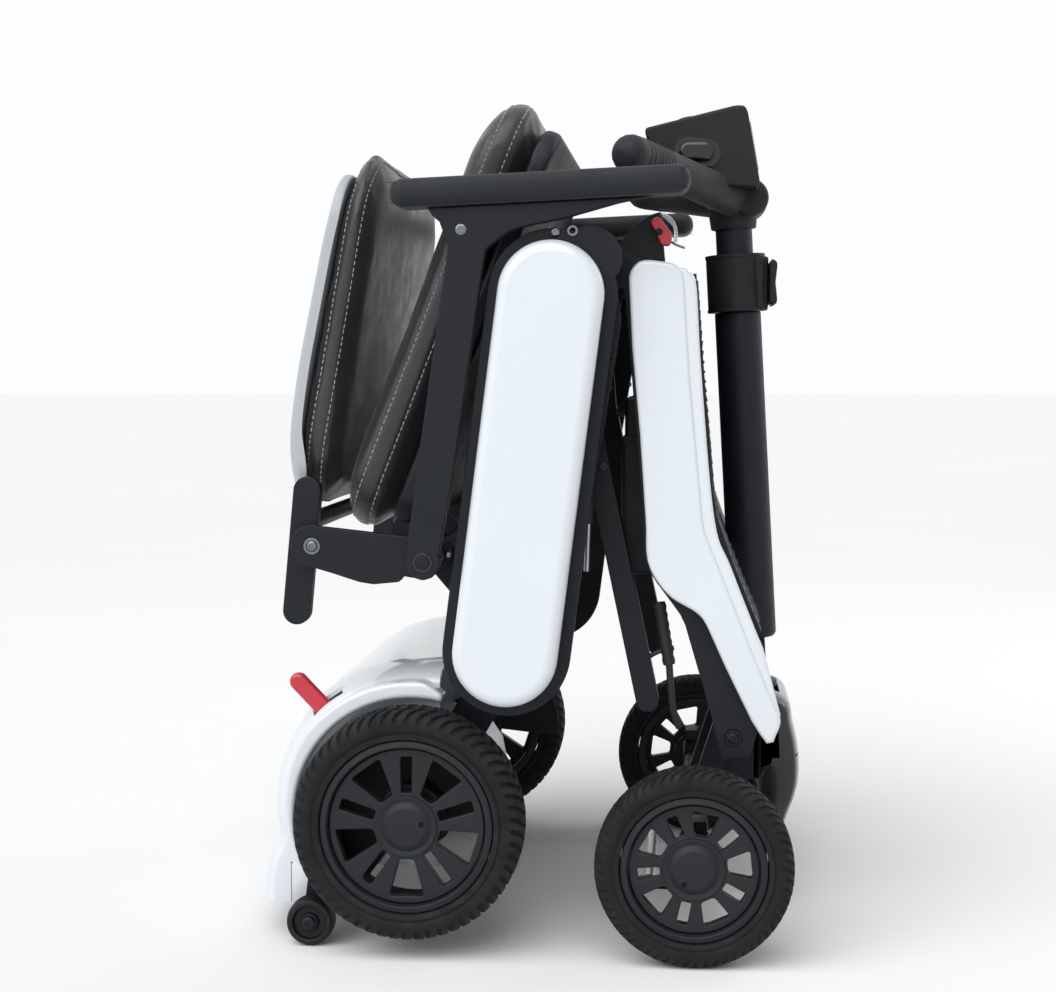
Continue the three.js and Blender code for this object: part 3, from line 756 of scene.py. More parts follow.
FLAT_PLATES = (
    "seat_bracket_right", "seat_bracket_left", "deck_side_plate_right", "deck_side_plate_left",
    "deck_strut_right", "deck_strut_left", "frame_side_right", "frame_side_left",
    "anti_tip_arm_right", "anti_tip_arm_left", "backrest_frame", "rear_subframe", "drive_motor",
    "latch_bracket", "apex_shaft", "frame_cross_tube", "tie_rod",
)
ROUGH_FORMS = ("rear_axle_housing", "front_chassis", "knuckle_right", "knuckle_left",
               "steering_stem")


def build_plates(sizes):
    for node in FLAT_PLATES:
        add_for(node, formed_mesh(node, sizes.edge))
    for node in ROUGH_FORMS:
        add_for(node, refined_mesh(node, 0.0012), smooth=42)


def build_armrest_posts(sizes):
    for word, _ in SIDES:
        node = f"armrest_post_{word}"
        add_for(node, formed_mesh(node, 0.0016, sharp=30))


# ---------------------------------------------------------------- white and black covers

# Half the width of a long frame cover, in terms of its thickness.
POD_WIDTH = 0.045 / 0.024


def build_pods(sizes):
    """Long gloss covers with a broad soft rim."""
    for word, _ in SIDES:
        node = f"frame_cover_{word}"
        low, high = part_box(node)
        radius = (high.y - low.y) * POD_WIDTH
        first, last = (low.x + radius, low.z + radius), (high.x - radius, high.z - radius)
        outer = slot_outline(first, last, radius, steps=36)
        add_for(node, plate_mesh([outer], low.y, high.y, sizes.pod_edge, rings=9), smooth=60)


# The deck lip: how far it stands forward of its panel, runs under it, and sits back from its faces.
LIP_REACH, LIP_OVERLAP = 0.0098, 0.006
LIP_SET_BACK = (0.0022, 0.0002)


def build_deck_panels(sizes):
    """Gloss side panels of the deck, each with a moulded lip along its front edge."""
    for word, side in SIDES:
        node = f"deck_panel_{word}"
        loop = rounded(section(node, centre_of(node).y)[0], sharp=62, step=4)
        low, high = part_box(node)
        add_for(node, plate_mesh([loop], low.y, high.y, sizes.panel_edge, rings=5), smooth=60)
        edge = through(front_edge(node), 0.004)
        outside, inside = LIP_SET_BACK if side < 0 else LIP_SET_BACK[::-1]
        last = len(edge) - 1
        far = [(p.x + LIP_REACH * min(1, 0.4 + 25 * i / last, 0.1 + 6 * (last - i) / last), p.y)
               for i, p in enumerate(edge)]
        near = [(p.x - LIP_OVERLAP, p.y) for p in edge]
        lip = plate_mesh([[*near, *far[::-1]]], low.y + outside, high.y - inside, 0.0028, rings=4)
        add_piece(f"deck_lip_{word}", lip, body_of(node), "gloss_white", smooth=60)


def front_edge(node):
    """The points along the forward edge of a deck panel, from its top to its tip."""
    loop = section(node, centre_of(node).y)[0]
    low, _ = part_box(node)
    count = len(loop)
    top = max(range(count), key=lambda i: loop[i][1] + loop[i][0])
    tip = max(range(count), key=lambda i: loop[i][0])
    ways = [[loop[(top + step * k) % count] for k in range(count)] for step in (1, -1)]
    for way in ways:
        reached = way.index(loop[tip])
        edge = way[: reached + 1]
        if all(x > low.x + 0.03 for x, _ in edge):
            return edge
    raise RuntimeError(f"{node} has no forward edge")


def shell_outline(node, front, floor_level):
    """Closed side view of a hollow cover's outer skin, run on past its open sides."""
    low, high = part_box(node)
    loop = max(section(node, 0.0), key=len)
    count = len(loop)
    start = max((i for i in range(count) if loop[i][0] > high.x - 1e-4), key=lambda i: loop[i][1])
    end = min((i for i in range(count) if loop[i][1] < low.z + 1e-4), key=lambda i: loop[i][0])
    forward = [loop[(start + k) % count] for k in range((end - start) % count + 1)]
    backward = [loop[(start - k) % count] for k in range((start - end) % count + 1)]
    path = max(forward, backward, key=lambda way: sum(abs(x) + z for x, z in way))
    return [(front, path[0][1] + 0.004), *path, (path[-1][0], floor_level), (front, floor_level)]


def bulged_mesh(loop, half_width, flank, bulge):
    """Closed body across the scooter whose outline pulls in towards its two ends."""
    rows = 10
    levels = []
    for k in range(rows + 1):
        angle = math.pi / 2 * k / rows
        levels.append((-half_width + flank * (1 - math.cos(angle)), bulge * (1 - math.sin(angle))))
    levels += [(-y, inset) for y, inset in reversed(levels)]
    work = bmesh.new()
    rings = []
    for y, inset in levels:
        rings.append([work.verts.new((x, y, z)) for x, z in offset_outline(loop, -inset)])
    for first, second in zip(rings, rings[1:]):
        for k in range(len(loop)):
            n = (k + 1) % len(loop)
            work.faces.new((first[k], first[n], second[n], second[k]))
    work.faces.new(rings[0])
    work.faces.new(rings[-1])
    return finished_mesh(work)


# The tail cover's sides: how wide their curve is and how far it pulls in, and the wall's thickness.
COVER_FLANK, COVER_BULGE, COVER_WALL = 0.06, 0.016, 0.003


def build_rear_cover(sizes):
    """Gloss tail cover over the motor, with a lip round each wheel."""
    node = "rear_cover"
    low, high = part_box(node)
    loop = rounded(shell_outline(node, 0.075, -0.02), sharp=50, step=3)
    outer = bulged_mesh(loop, high.y, COVER_FLANK, COVER_BULGE)
    inner = bulged_mesh(offset_outline(loop, -COVER_WALL), high.y - COVER_WALL,
                        COVER_FLANK - COVER_WALL, COVER_BULGE)
    axle = centre_of("rear_tyre_right")
    hub = turned_mesh([(0, -0.3), (0.03, -0.3), (0.03, 0.3), (0, 0.3)], (axle.x, 0, axle.z))
    wide = 0.4
    tool_front = cutter_block((high.x, -wide, -0.1), (high.x + 0.2, wide, 0.5))
    tool_low = cutter_block((-0.3, -wide, -0.2), (high.x + 0.2, wide, low.z))
    tool_arch = cutter_block((-0.112, -wide, -0.19), (high.x + 0.19, wide, 0.07))
    body = outer
    for tools in ([inner], [hub, tool_front], [tool_low], [tool_arch], lever_room()):
        body = cut_mesh(body, *tools)
    add_for(node, body, smooth=50)
    build_cover_lips(axle, high.y)


def lever_room():
    """The space that the freewheel lever sweeps through the tail cover."""
    hinge = pivot("freewheel_lift")
    low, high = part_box("freewheel_lever")
    loop = offset_outline(rounded(section("freewheel_lever", (low.y + high.y) / 2)[0]), 0.0018)
    rooms = []
    for degrees in (0, 7, 14, 20):
        room = plate_mesh([loop], low.y - 0.0018, high.y + 0.0018, 0.0002, rings=0)
        turn = Matrix.Rotation(math.radians(degrees), 4, Vector(JOINTS["freewheel_lift"]["axis"]))
        room.transform(Matrix.Translation(hinge) @ turn @ Matrix.Translation(-hinge))
        rooms.append(room)
    return rooms


# Where a wheel lip of the tail cover starts and ends round its wheel, in degrees.
LIP_FROM, LIP_TO = 76, 214


def build_cover_lips(axle, half_width):
    """Rounded lips on the tail cover, one round the top of each rear wheel."""
    tyre_low, tyre_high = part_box("rear_tyre_right")
    clear = (tyre_high.z - tyre_low.z) / 2 + 0.0045
    for word, side in SIDES:
        outer, inner = [], []
        steps = 60
        middle = Vector((axle.x, axle.z))
        for k in range(steps + 1):
            share = k / steps
            angle = math.radians(LIP_FROM + (LIP_TO - LIP_FROM) * share)
            width = 0.0145 * min(1, 0.45 + 9 * share, 0.3 + 1.4 * (1 - share))
            direction = Vector((math.cos(angle), math.sin(angle)))
            inner.append(tuple(middle + direction * clear))
            outer.append(tuple(middle + direction * (clear + width)))
        lip = filleted([*outer, *inner[::-1]], 0.002, steps=2)
        near, far = half_width - 0.006, half_width + 0.0195
        span = (near, far) if side > 0 else (-far, -near)
        add_piece(f"rear_cover_lip_{word}", plate_mesh([lip], *span, 0.004, rings=4),
                  body_of("rear_cover"), "gloss_white", smooth=60)


LINER_RADIUS, LINER_HOLE = 0.0955, 0.0316
LINER_FACES = (0.2032, 0.2056)


def build_wheel_liners(sizes):
    """Black liners between the tail cover and the rear wheels, open towards the lower front."""
    for word, side in SIDES:
        axle = centre_of(f"rear_tyre_{word}")
        loop = []
        for radius, angles in ((LINER_RADIUS, range(-6, 237, 6)), (LINER_HOLE, range(234, -7, -12))):
            for degrees in angles:
                angle = math.radians(degrees)
                loop.append((axle.x + radius * math.cos(angle), axle.z + radius * math.sin(angle)))
        near, far = sorted(side * face for face in LINER_FACES)
        add_piece(f"wheel_liner_{word}", plate_mesh([loop], near, far, 0.0006), "rear_unit",
                  "plastic_black")


def build_front_cover(sizes):
    """Gloss black nose in front of the steering head, with a seam line across it."""
    node = "front_cover"
    low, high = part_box(node)
    loop = rounded(hull_outline(node), sharp=50, step=3)
    outer = bulged_mesh(loop, high.y, 0.03, 0.007)
    slack, inside = 0.1, high.y - 0.031
    behind = cutter_block((low.x - slack, -inside, low.z - slack),
                          (low.x + 0.0245, inside, high.z + slack))
    hollow = plate_mesh([offset_outline(loop, -0.0046)], -inside, inside, 0.0002, 1)
    seam = 0.1455
    groove = cutter_block((high.x - 0.0042, -slack, seam), (high.x + 0.01, slack, seam + 0.0015))
    add_for(node, cut_mesh(cut_mesh(cut_mesh(outer, behind), hollow), groove), smooth=50)


# ---------------------------------------------------------------- deck


# The foot mat's half width, and the top of the notch that lets the tiller through.
MAT_HALF, NOTCH_HALF, NOTCH_TOP = 0.18, 0.048, 0.372
NOTCHED_RIBS = ((-MAT_HALF, -NOTCH_HALF), (NOTCH_HALF, MAT_HALF))


def build_deck_floor(sizes):
    """Foot deck with a ribbed rubber mat let into its upper side."""
    node = "deck_floor"
    add_for(node, formed_mesh(node, 0.0015, sharp=45), smooth=45)
    _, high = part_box(node)
    rim = [Vector(point) for point in section(node, high.y - 0.02)[0]]
    near_top = [i for i in range(len(rim)) if rim[i].y > high.z - 0.006]
    top = max(near_top, key=lambda i: rim[i].x + rim[i].y * 0.02)
    end = max(range(len(rim)), key=lambda i: rim[i].x)
    way = 1 if rim[(top + 1) % len(rim)].y < rim[top].y - 0.02 else -1
    path = [rim[top]]
    k = top
    while k != end:
        k = (k + way) % len(rim)
        path.append(rim[k])
    fine = through(path, 0.002)
    ribs = []
    gone = 0.0
    for here, onward in zip(fine, fine[1:]):
        gone += (onward - here).length
        if gone < sizes.rib_pitch:
            continue
        gone = 0.0
        whole = here.y > NOTCH_TOP
        for start, stop in [(-MAT_HALF, MAT_HALF)] if whole else NOTCHED_RIBS:
            ribs.append(rod_mesh((here.x, start, here.y), (here.x, stop, here.y), 0.0012, segments=10))
    add_piece("deck_mat_ribs", joined(ribs), body_of(node), "grip_rubber", smooth=50)


def build_battery(sizes):
    """Battery case with a parting line, a carry strap and a charging socket."""
    node = "battery_box"
    low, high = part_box(node)
    step = 0.444
    case = block_mesh(low, (high.x, high.y, step), 0.005)
    lid = block_mesh((low.x + 0.003, low.y + 0.003, step + 0.0008),
                     (high.x, high.y - 0.003, high.z), 0.004)
    band = block_mesh((low.x + 0.0015, low.y + 0.0015, step - 0.004),
                      (high.x - 0.001, high.y - 0.0015, step + 0.004), 0.001)
    add_for(node, joined([case, lid, band]))
    strap = [(low.x + 0.006, -0.05, high.z - 0.003), (low.x - 0.004, -0.035, high.z - 0.012),
             (low.x - 0.007, 0, high.z - 0.016), (low.x - 0.004, 0.035, high.z - 0.012),
             (low.x + 0.006, 0.05, high.z - 0.003)]
    add_piece("battery_strap", bar_mesh(strap, 0.0045, sides=12), body_of(node), "plastic_black",
              finish="grip_rubber")
    centre = Vector((low.x, 0.105, 0.35))
    profile = filleted([(0, -0.006), (0.0075, -0.006), (0.0075, 0.002), (0.0105, 0.002),
                        (0.0105, -0.002), (0.0105, -0.004)], 0.0005, closed=False)
    add_piece("charging_socket", turned_mesh(profile, centre, (-1, 0, 0), 32), body_of(node),
              "plastic_black", finish="steel")


# ---------------------------------------------------------------- wheels

# Rows across half a tyre: share of its half width, share of its depth, and of the tread's cut.
TYRE_ROWS = (
    (0.86, 0.0, 0), (0.93, 0.03, 0), (0.965, 0.10, 0), (0.975, 0.20, 0), (0.935, 0.235, 0),
    (0.945, 0.275, 0), (0.985, 0.33, 0), (1.0, 0.42, 0), (1.0, 0.52, 0), (0.99, 0.61, 0.1),
    (0.965, 0.70, 0.8), (0.91, 0.80, 1), (0.82, 0.89, 1), (0.68, 0.955, 1), (0.52, 0.985, 1),
    (0.455, 0.99, 1), (0.44, 0.90, 0), (0.36, 0.90, 0), (0.345, 0.992, 0.75), (0.2, 0.998, 0.75),
    (0.0, 1.0, 0.75),
)
# Places round one lug, as shares of the pitch, and whether the tread is cut there.
LUG_STEPS = ((0.0, 0), (0.54, 0), (0.64, 1), (0.90, 1))


def tyre_mesh(node, rim_radius, lugs, depth, slant):
    """Tyre with slanted lugs cut into its shoulders and crown."""
    low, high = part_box(node)
    centre = (low + high) / 2
    half = (high.y - low.y) / 2
    radius = max(high.z - low.z, high.x - low.x) / 2
    section_height = radius - rim_radius
    rows = [(-a, b, c) for a, b, c in TYRE_ROWS] + [*reversed(TYRE_ROWS[:-1])]
    work = bmesh.new()
    columns = []
    for lug in range(lugs):
        for share, cut in LUG_STEPS:
            column = []
            for across, up, tread in rows:
                angle = 2 * math.pi * (lug + share + slant * abs(across) ** 1.3) / lugs
                sunk = depth * tread * cut
                reach = rim_radius + section_height * up - sunk * (0.25 + 0.75 * up)
                y = half * across
                y -= math.copysign(sunk * (1 - up) * 1.4, across) if across else 0
                column.append(work.verts.new((reach * math.cos(angle), y, reach * math.sin(angle))))
            columns.append(column)
    for first, second in zip(columns, columns[1:] + columns[:1]):
        for k in range(len(rows)):
            n = (k + 1) % len(rows)
            work.faces.new((first[k], first[n], second[n], second[k]))
    mesh = finished_mesh(work)
    mesh.transform(Matrix.Translation(centre))
    return mesh


REAR_RIM, FRONT_RIM = 0.075, 0.063
BEAD_GAP = 0.0002


def build_tyres(sizes):
    """Rear tyres with coarse slanted lugs and front tyres with finer ones."""
    kinds = (("rear", REAR_RIM, sizes.rear_lugs, 1.0, 1.15),
             ("front", FRONT_RIM, sizes.front_lugs, 0.62, 1.7))
    for word, _ in SIDES:
        for end, rim_radius, lugs, share, slant in kinds:
            node = f"{end}_tyre_{word}"
            tyre = tyre_mesh(node, rim_radius + BEAD_GAP, lugs, sizes.lug_depth * share, slant)
            add_for(node, tyre, smooth=32, weighted=False)


def window_outline(radius_in, radius_out, width_in, width_out, degrees, corner):
    """Opening between two spokes, in the wheel's own plane."""
    corners = [(radius_in, -width_in / 2), (radius_out, -width_out / 2),
               (radius_out, width_out / 2), (radius_in, width_in / 2)]
    turn = Matrix.Rotation(math.radians(degrees), 2)
    return [tuple(turn @ Vector(point)) for point in filleted(corners, corner, steps=5)]


def rim_mesh(node, side, rim_radius, first_window, hole_angle):
    """Moulded wheel: barrel, spoked disc with wide and narrow windows, and a domed hub cap."""
    tyre_low, tyre_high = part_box(node.replace("rim", "tyre"))
    centre = (tyre_low + tyre_high) / 2
    half = (tyre_high.y - tyre_low.y) / 2
    outer = rim_radius - 0.0005
    face = half - 0.0075
    ring = outer - 0.0075
    wide = [window_outline(0.0285, ring - 0.0065, 0.0125, (ring - 0.0065) * 0.5,
                           first_window + 72 * k, 0.003) for k in range(5)]
    narrow = [window_outline(0.029, ring - 0.007, 0.0088, 0.0098,
                             first_window + 36 + 72 * k, 0.0018) for k in range(5)]
    disc_edge = [(math.cos(a) * ring, math.sin(a) * ring)
                 for a in (2 * math.pi * k / 96 for k in range(96))]
    disc = plate_mesh([disc_edge, *wide, *narrow], -face, -face + 0.011, 0.0012, rings=3)
    barrel = turned_mesh(filleted(
        [(outer, half - 0.003), (outer, -half + 0.0035), (outer - 0.0055, -half + 0.0022),
         (ring + 0.0006, -face - 0.0012), (ring + 0.0006, -face + 0.012),
         (ring - 0.001, half - 0.004), (ring + 0.003, half - 0.003)], 0.0011), (0, 0, 0),
        segments=96, closed=True)
    cap = turned_mesh(filleted(
        [(0, -half + 0.0028), (0.0165, -half + 0.0036), (0.0205, -half + 0.0062),
         (0.0212, -face - 0.0005), (0.0262, -face - 0.0018), (0.0272, -face + 0.004),
         (0.0235, -face + 0.0105), (0.0235, half - 0.006), (0, half - 0.006)],
        0.0009, closed=False), (0, 0, 0))
    angle = math.radians(hole_angle)
    spot = Vector((0.0142 * math.cos(angle), -half + 0.0031, 0.0142 * math.sin(angle)))
    hole = rod_mesh(spot - ACROSS * 0.004, spot + ACROSS * 0.004, 0.0026, segments=24)
    mesh = joined([disc, barrel, cut_mesh(cap, hole)])
    if side > 0:
        mesh.transform(Matrix.Rotation(math.pi, 4, "Z"))
    mesh.transform(Matrix.Translation(centre))
    return mesh


def build_rims(sizes):
    """Four spoked rims; the angles turn each one's first window and valve hole."""
    for word, side in SIDES:
        for end, radius, first_window, hole in (("rear", REAR_RIM, 54, 12), ("front", FRONT_RIM, 6, 236)):
            node = f"{end}_rim_{word}"
            add_for(node, rim_mesh(node, side, radius, first_window, hole), smooth=40)
        build_hub_drum(word, side)


DRUM_RADIUS, DRUM_FACES = 0.031, (0.2, 0.23)


def build_hub_drum(word, side):
    """Drum of a rear hub, which shows through the windows of its wheel."""
    axle = centre_of(f"rear_tyre_{word}")
    low, high = sorted(side * face for face in DRUM_FACES)
    profile = filleted([(0, low), (DRUM_RADIUS, low), (DRUM_RADIUS, high), (0, high)], 0.002, closed=False)
    drum = turned_mesh(profile, (axle.x, 0, axle.z), segments=48)
    add_piece(f"rear_hub_drum_{word}", drum, f"rear_wheel_{word}", "wheel_plastic")


ROLLER_BORE = 0.0044


def build_small_wheels(sizes):
    """Anti-tip rollers, each with a soft tread ring and dished sides."""
    for word, _ in SIDES:
        node = f"anti_tip_wheel_{word}"
        low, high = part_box(node)
        centre = (low + high) / 2
        half = (high.y - low.y) / 2
        radius = (high.z - low.z) / 2
        tread = filleted([(radius * 0.70, -half), (radius * 0.93, -half), (radius, -half * 0.55),
                          (radius, half * 0.55), (radius * 0.93, half), (radius * 0.70, half)], 0.0016)
        dish = [(ROLLER_BORE, 0.86), (radius * 0.36, 0.86), (radius * 0.4, 0.55), (radius * 0.66, 0.55),
                (radius * 0.70, 0.8)]
        core = filleted([*((reach, -half * share) for reach, share in dish),
                         *((reach, half * share) for reach, share in reversed(dish))], 0.0007)
        rings = [turned_mesh(ring, centre, closed=True, segments=56) for ring in (tread, core)]
        add_for(node, joined(rings), smooth=40)


# ---------------------------------------------------------------- tiller and bars


def tiller_axis():
    """The lower end and the direction of the tiller, from its telescoping joint."""
    slide = JOINTS["tiller_extend"]
    return pivot("tiller_tilt"), Vector(slide["axis"]).normalized()


def on_tiller(height):
    """The point on the tiller's axis at a height above the floor."""
    foot, along = tiller_axis()
    return foot + along * ((height - foot.z) / along.z)


# Heights on the folded tiller of the lower tube's ends, the upper tube's ends and the collar's ends.
LOWER_ENDS = (0.249, 0.5612)
UPPER_ENDS = (0.393, 0.652)
COLLAR_ENDS = (0.5625, 0.6155)


def build_tiller(sizes):
    """Telescoping tiller tubes, the clamp collar and its lever."""
    foot, along = tiller_axis()
    base, top = map(on_tiller, LOWER_ENDS)
    reach = (top - base).length
    profile = filleted([(0, 0), (0.0195, 0), (0.022, 0.0035), (0.022, reach), (0.0182, reach),
                        (0.0182, reach - 0.05), (0, reach - 0.05)], 0.0012, closed=False)
    add_for("tiller_lower_tube", joined([turned_mesh(profile, base, along, 64), tongue_mesh(foot)]))
    add_for("tiller_upper_tube", rod_mesh(*map(on_tiller, UPPER_ENDS), 0.0174, 0.0006, 56))
    build_collar()


def tongue_mesh(foot):
    """Hinge tongue and pin under the lower tube."""
    top = on_tiller(0.254)
    tongue = plate_mesh([slot_outline((foot.x, foot.z), (top.x, top.z), 0.0105)], -0.014, 0.014, 0.001)
    pin = rod_mesh(foot - ACROSS * 0.021, foot + ACROSS * 0.021, 0.005, segments=32)
    return joined([tongue, pin])


def build_collar():
    """Split clamp collar with vertical ribs on its front block, and the lever over it."""
    _, along = tiller_axis()
    low_ring, high_ring = map(on_tiller, COLLAR_ENDS)
    height = (high_ring - low_ring).length
    ring = filleted([(0.0182, 0), (0.0268, 0), (0.028, 0.0015), (0.028, height - 0.0015),
                     (0.0268, height), (0.0182, height)], 0.0012)
    body = turned_mesh(ring, low_ring, along, 72, closed=True)
    middle = sum(COLLAR_ENDS) / 2
    centre = on_tiller(middle)
    block = block_mesh((centre.x + 0.019, -0.015, centre.z - 0.025),
                       (centre.x + 0.030, 0.015, centre.z + 0.025), 0.0022)
    ridges = []
    ridge_rise = 0.0255
    for _, side in SIDES:
        y = side * 0.0165
        ridges.append(block_mesh((centre.x + 0.012, y - 0.004, centre.z - ridge_rise),
                                 (centre.x + 0.026, y + 0.004, centre.z + ridge_rise), 0.0018))
    band = filleted([(0.027, -0.0016), (0.0286, -0.0016), (0.0286, 0.0016), (0.027, 0.0016)], 0.0006)
    for rise in (-ridge_rise, ridge_rise):
        ridges.append(turned_mesh(band, on_tiller(middle + rise), along, 72, closed=True))
    add_for("tiller_collar", joined([body, block, *ridges]))
    low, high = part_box("clamp_lever")
    grip = [(low.x, low.z + 0.004), (low.x, high.z - 0.004), (low.x + 0.003, high.z),
            (high.x - 0.001, high.z - 0.002), (high.x, high.z - 0.008),
            (high.x - 0.0015, (low.z + high.z) / 2), (high.x, low.z + 0.008),
            (high.x - 0.001, low.z + 0.002), (low.x + 0.003, low.z)]
    add_for("clamp_lever", plate_mesh([rounded(grip, sharp=80)], low.y, high.y, 0.0022, rings=4))


# Half of the handlebar's course: share of the way to its middle, and share of the grip's distance out.
BAR_COURSE = ((0.0, 1.0), (0.19, 0.822), (0.535, 0.497), (0.88, 0.162), (1.0, 0.0))


def bar_path(low, high, radius):
    """The handlebar's course from the right grip round to the left one."""
    ends = Vector((low.x + radius * 0.93, high.y - radius * 0.93, high.z - radius))
    middle = Vector((high.x - radius, 0, low.z + radius + 0.0105))
    half = []
    for share, width in BAR_COURSE:
        place = ends.lerp(middle, share)
        half.append(Vector((place.x, ends.y * width, place.z)))
    return [Vector((p.x, -p.y, p.z)) for p in half] + half[-2::-1]


def build_handlebar(sizes):
    """One-piece swept bar in soft rubber, with ribbed grip zones and round ends."""
    node = "handlebar"
    low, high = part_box(node)
    radius = 0.017
    path = bar_path(low, high, radius)
    bar = bar_mesh(path, radius, spacing=0.0025, sides=28, round_ends=True)
    _, along = tiller_axis()
    foot = on_tiller(0.6405)
    socket = turned_mesh(filleted([(0.0178, 0), (0.0215, 0), (0.0228, 0.012), (0.024, 0.03),
                                   (0.0178, 0.03)], 0.002), foot, along, 64, closed=True)
    boss = rod_mesh((0.2925, -0.03, 0.6685), (0.2925, 0.03, 0.6685), 0.0185, 0.006, 56)
    add_for(node, joined([bar, socket, boss]), smooth=50)
    rings = []
    fine = through(path, 0.0055)
    zone = len(fine) // 6
    for index in [*range(5, zone), *range(len(fine) - zone, len(fine) - 5)]:
        along_here = (fine[index + 1] - fine[index - 1]).normalized()
        rings.append(turned_mesh([(radius - 0.0006, -0.0009), (radius + 0.00035, -0.0006),
                                  (radius + 0.00035, 0.0006), (radius - 0.0006, 0.0009)],
                                 fine[index], along_here, 40, closed=True))
    add_piece("grip_ribs", joined(rings), body_of(node), "grip_rubber", smooth=60)


def console_frame():
    """Centre and upward direction of the dial on the console's top."""
    axis = Vector(JOINTS["dial_turn"]["axis"]).normalized()
    return centre_of("speed_dial"), axis if axis.z > 0 else -axis


def build_console(sizes):
    """Wedge console with light grey bars round its front face, a painted highlight on the face's edges, and
    side recesses.
    """
    node = "console"
    low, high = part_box(node)
    loop = filleted(hull_outline(node), 0.013, steps=5)
    dial, up = console_frame()
    pocket = rod_mesh(dial - up * 0.0045, dial + up * 0.03, 0.0156, segments=48)
    body = plate_mesh([loop], low.y, high.y, 0.0026, rings=4)
    add_for(node, cut_mesh(body, pocket), smooth=50)
    # Light grey bars round the console's front face: a painted highlight along the face's edges, in the back
    # shell's finish.
    half = 0.0555
    top = Vector((high.x - 0.0097, 0, high.z - 0.016))
    foot = Vector((high.x - 0.0022, 0, low.z + 0.018))
    corners = [(top - ACROSS * half, foot - ACROSS * half), (top + ACROSS * half, foot + ACROSS * half),
               (top - ACROSS * half, top + ACROSS * half), (foot - ACROSS * half, foot + ACROSS * half)]
    steps = 18
    highlight_bars = [bar_mesh([start.lerp(end, k / steps) for k in range(steps + 1)], 0.0011, sides=8)
             for start, end in corners]
    add_piece("console_painted_highlight", joined(highlight_bars), body_of(node), "shell_grey")
    build_console_top(dial, up, body_of(node))
    build_throttles()


def build_console_top(dial, up, body):
    """Speed dial with its scale, charge lights and two push buttons."""
    radius = 0.0146
    foot = dial - up * 0.003
    profile = filleted([(0, 0), (radius, 0), (radius * 0.97, 0.0052), (radius * 0.80, 0.0064),
                        (radius * 0.72, 0.0052), (0, 0.0050)], 0.0006, closed=False)
    knob = turned_mesh(profile, foot, up, 64)
    across = ACROSS.cross(up).normalized()
    on_knob = foot + up * 0.0054
    marker = rod_mesh(on_knob + across * 0.004, on_knob + across * 0.0095, 0.0007, segments=12)
    add_piece("speed_dial_shown", knob, "dial", "plastic_black", ("speed_dial",))
    add_piece("dial_marker", marker, "dial", "plastic_black", finish="marking")
    surface = dial + up * 0.0040
    marks = []
    for k in range(9):
        angle = math.radians(-120 + 30 * k)
        way = across * math.cos(angle) + ACROSS * math.sin(angle)
        end = surface + way * (0.0195 + 0.0004 * k)
        marks.append(rod_mesh(surface + way * 0.018, end, 0.0005, segments=8))
    add_piece("dial_scale", joined(marks), body, "plastic_black", finish="marking")
    lights = []
    for k in range(5):
        spot = surface - across * 0.030 + ACROSS * (0.008 * k - 0.016) - up * 0.0002
        lights.append(rod_mesh(spot - up * 0.002, spot + up * 0.0006, 0.0022, segments=20))
    add_piece("charge_lights", joined(lights), body, "plastic_black", finish="screen")
    for side, label in ((-1, "horn_button"), (1, "lamp_button")):
        spot = surface + ACROSS * side * 0.040
        profile = filleted([(0, -0.003), (0.008, -0.003), (0.008, 0.0012), (0.0062, 0.0022), (0, 0.0016)],
                           0.0006, closed=False)
        add_piece(label, turned_mesh(profile, spot, up, 40), body, "plastic_black", finish="grip_rubber")


def build_throttles():
    """Thumb levers on the console's two ends, each with a dark gloss plate behind it."""
    for word, side in SIDES:
        node = f"throttle_lever_{word}"
        low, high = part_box(node)
        loop = rounded(section(node, (low.y + high.y) / 2)[0], sharp=60)
        add_for(node, plate_mesh([loop], low.y, high.y, 0.0035, rings=5), finish="gloss_black", smooth=50)
        centre = (low + high) / 2
        console_low, console_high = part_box("console")
        wall = console_low.y if side < 0 else console_high.y
        ends = (centre.x - 0.008, centre.z + 0.001), (centre.x + 0.010, centre.z - 0.001)
        near, far = sorted((wall - side * 0.001, wall + side * 0.0005))
        recess = plate_mesh([slot_outline(*ends, 0.0125)], near, far, 0.0003, rings=1)
        add_piece(f"throttle_recess_{word}", recess, body_of("console"), "plastic_black",
                  finish="gloss_black")


# ---------------------------------------------------------------- levers and latch


# Side view of the latch's red thumb tab, as (x, z).
LATCH_TAB = ((0.2040, 0.6325), (0.2105, 0.6380), (0.2175, 0.6300), (0.2235, 0.6220), (0.2215, 0.6120),
             (0.2135, 0.6125), (0.2095, 0.6230))


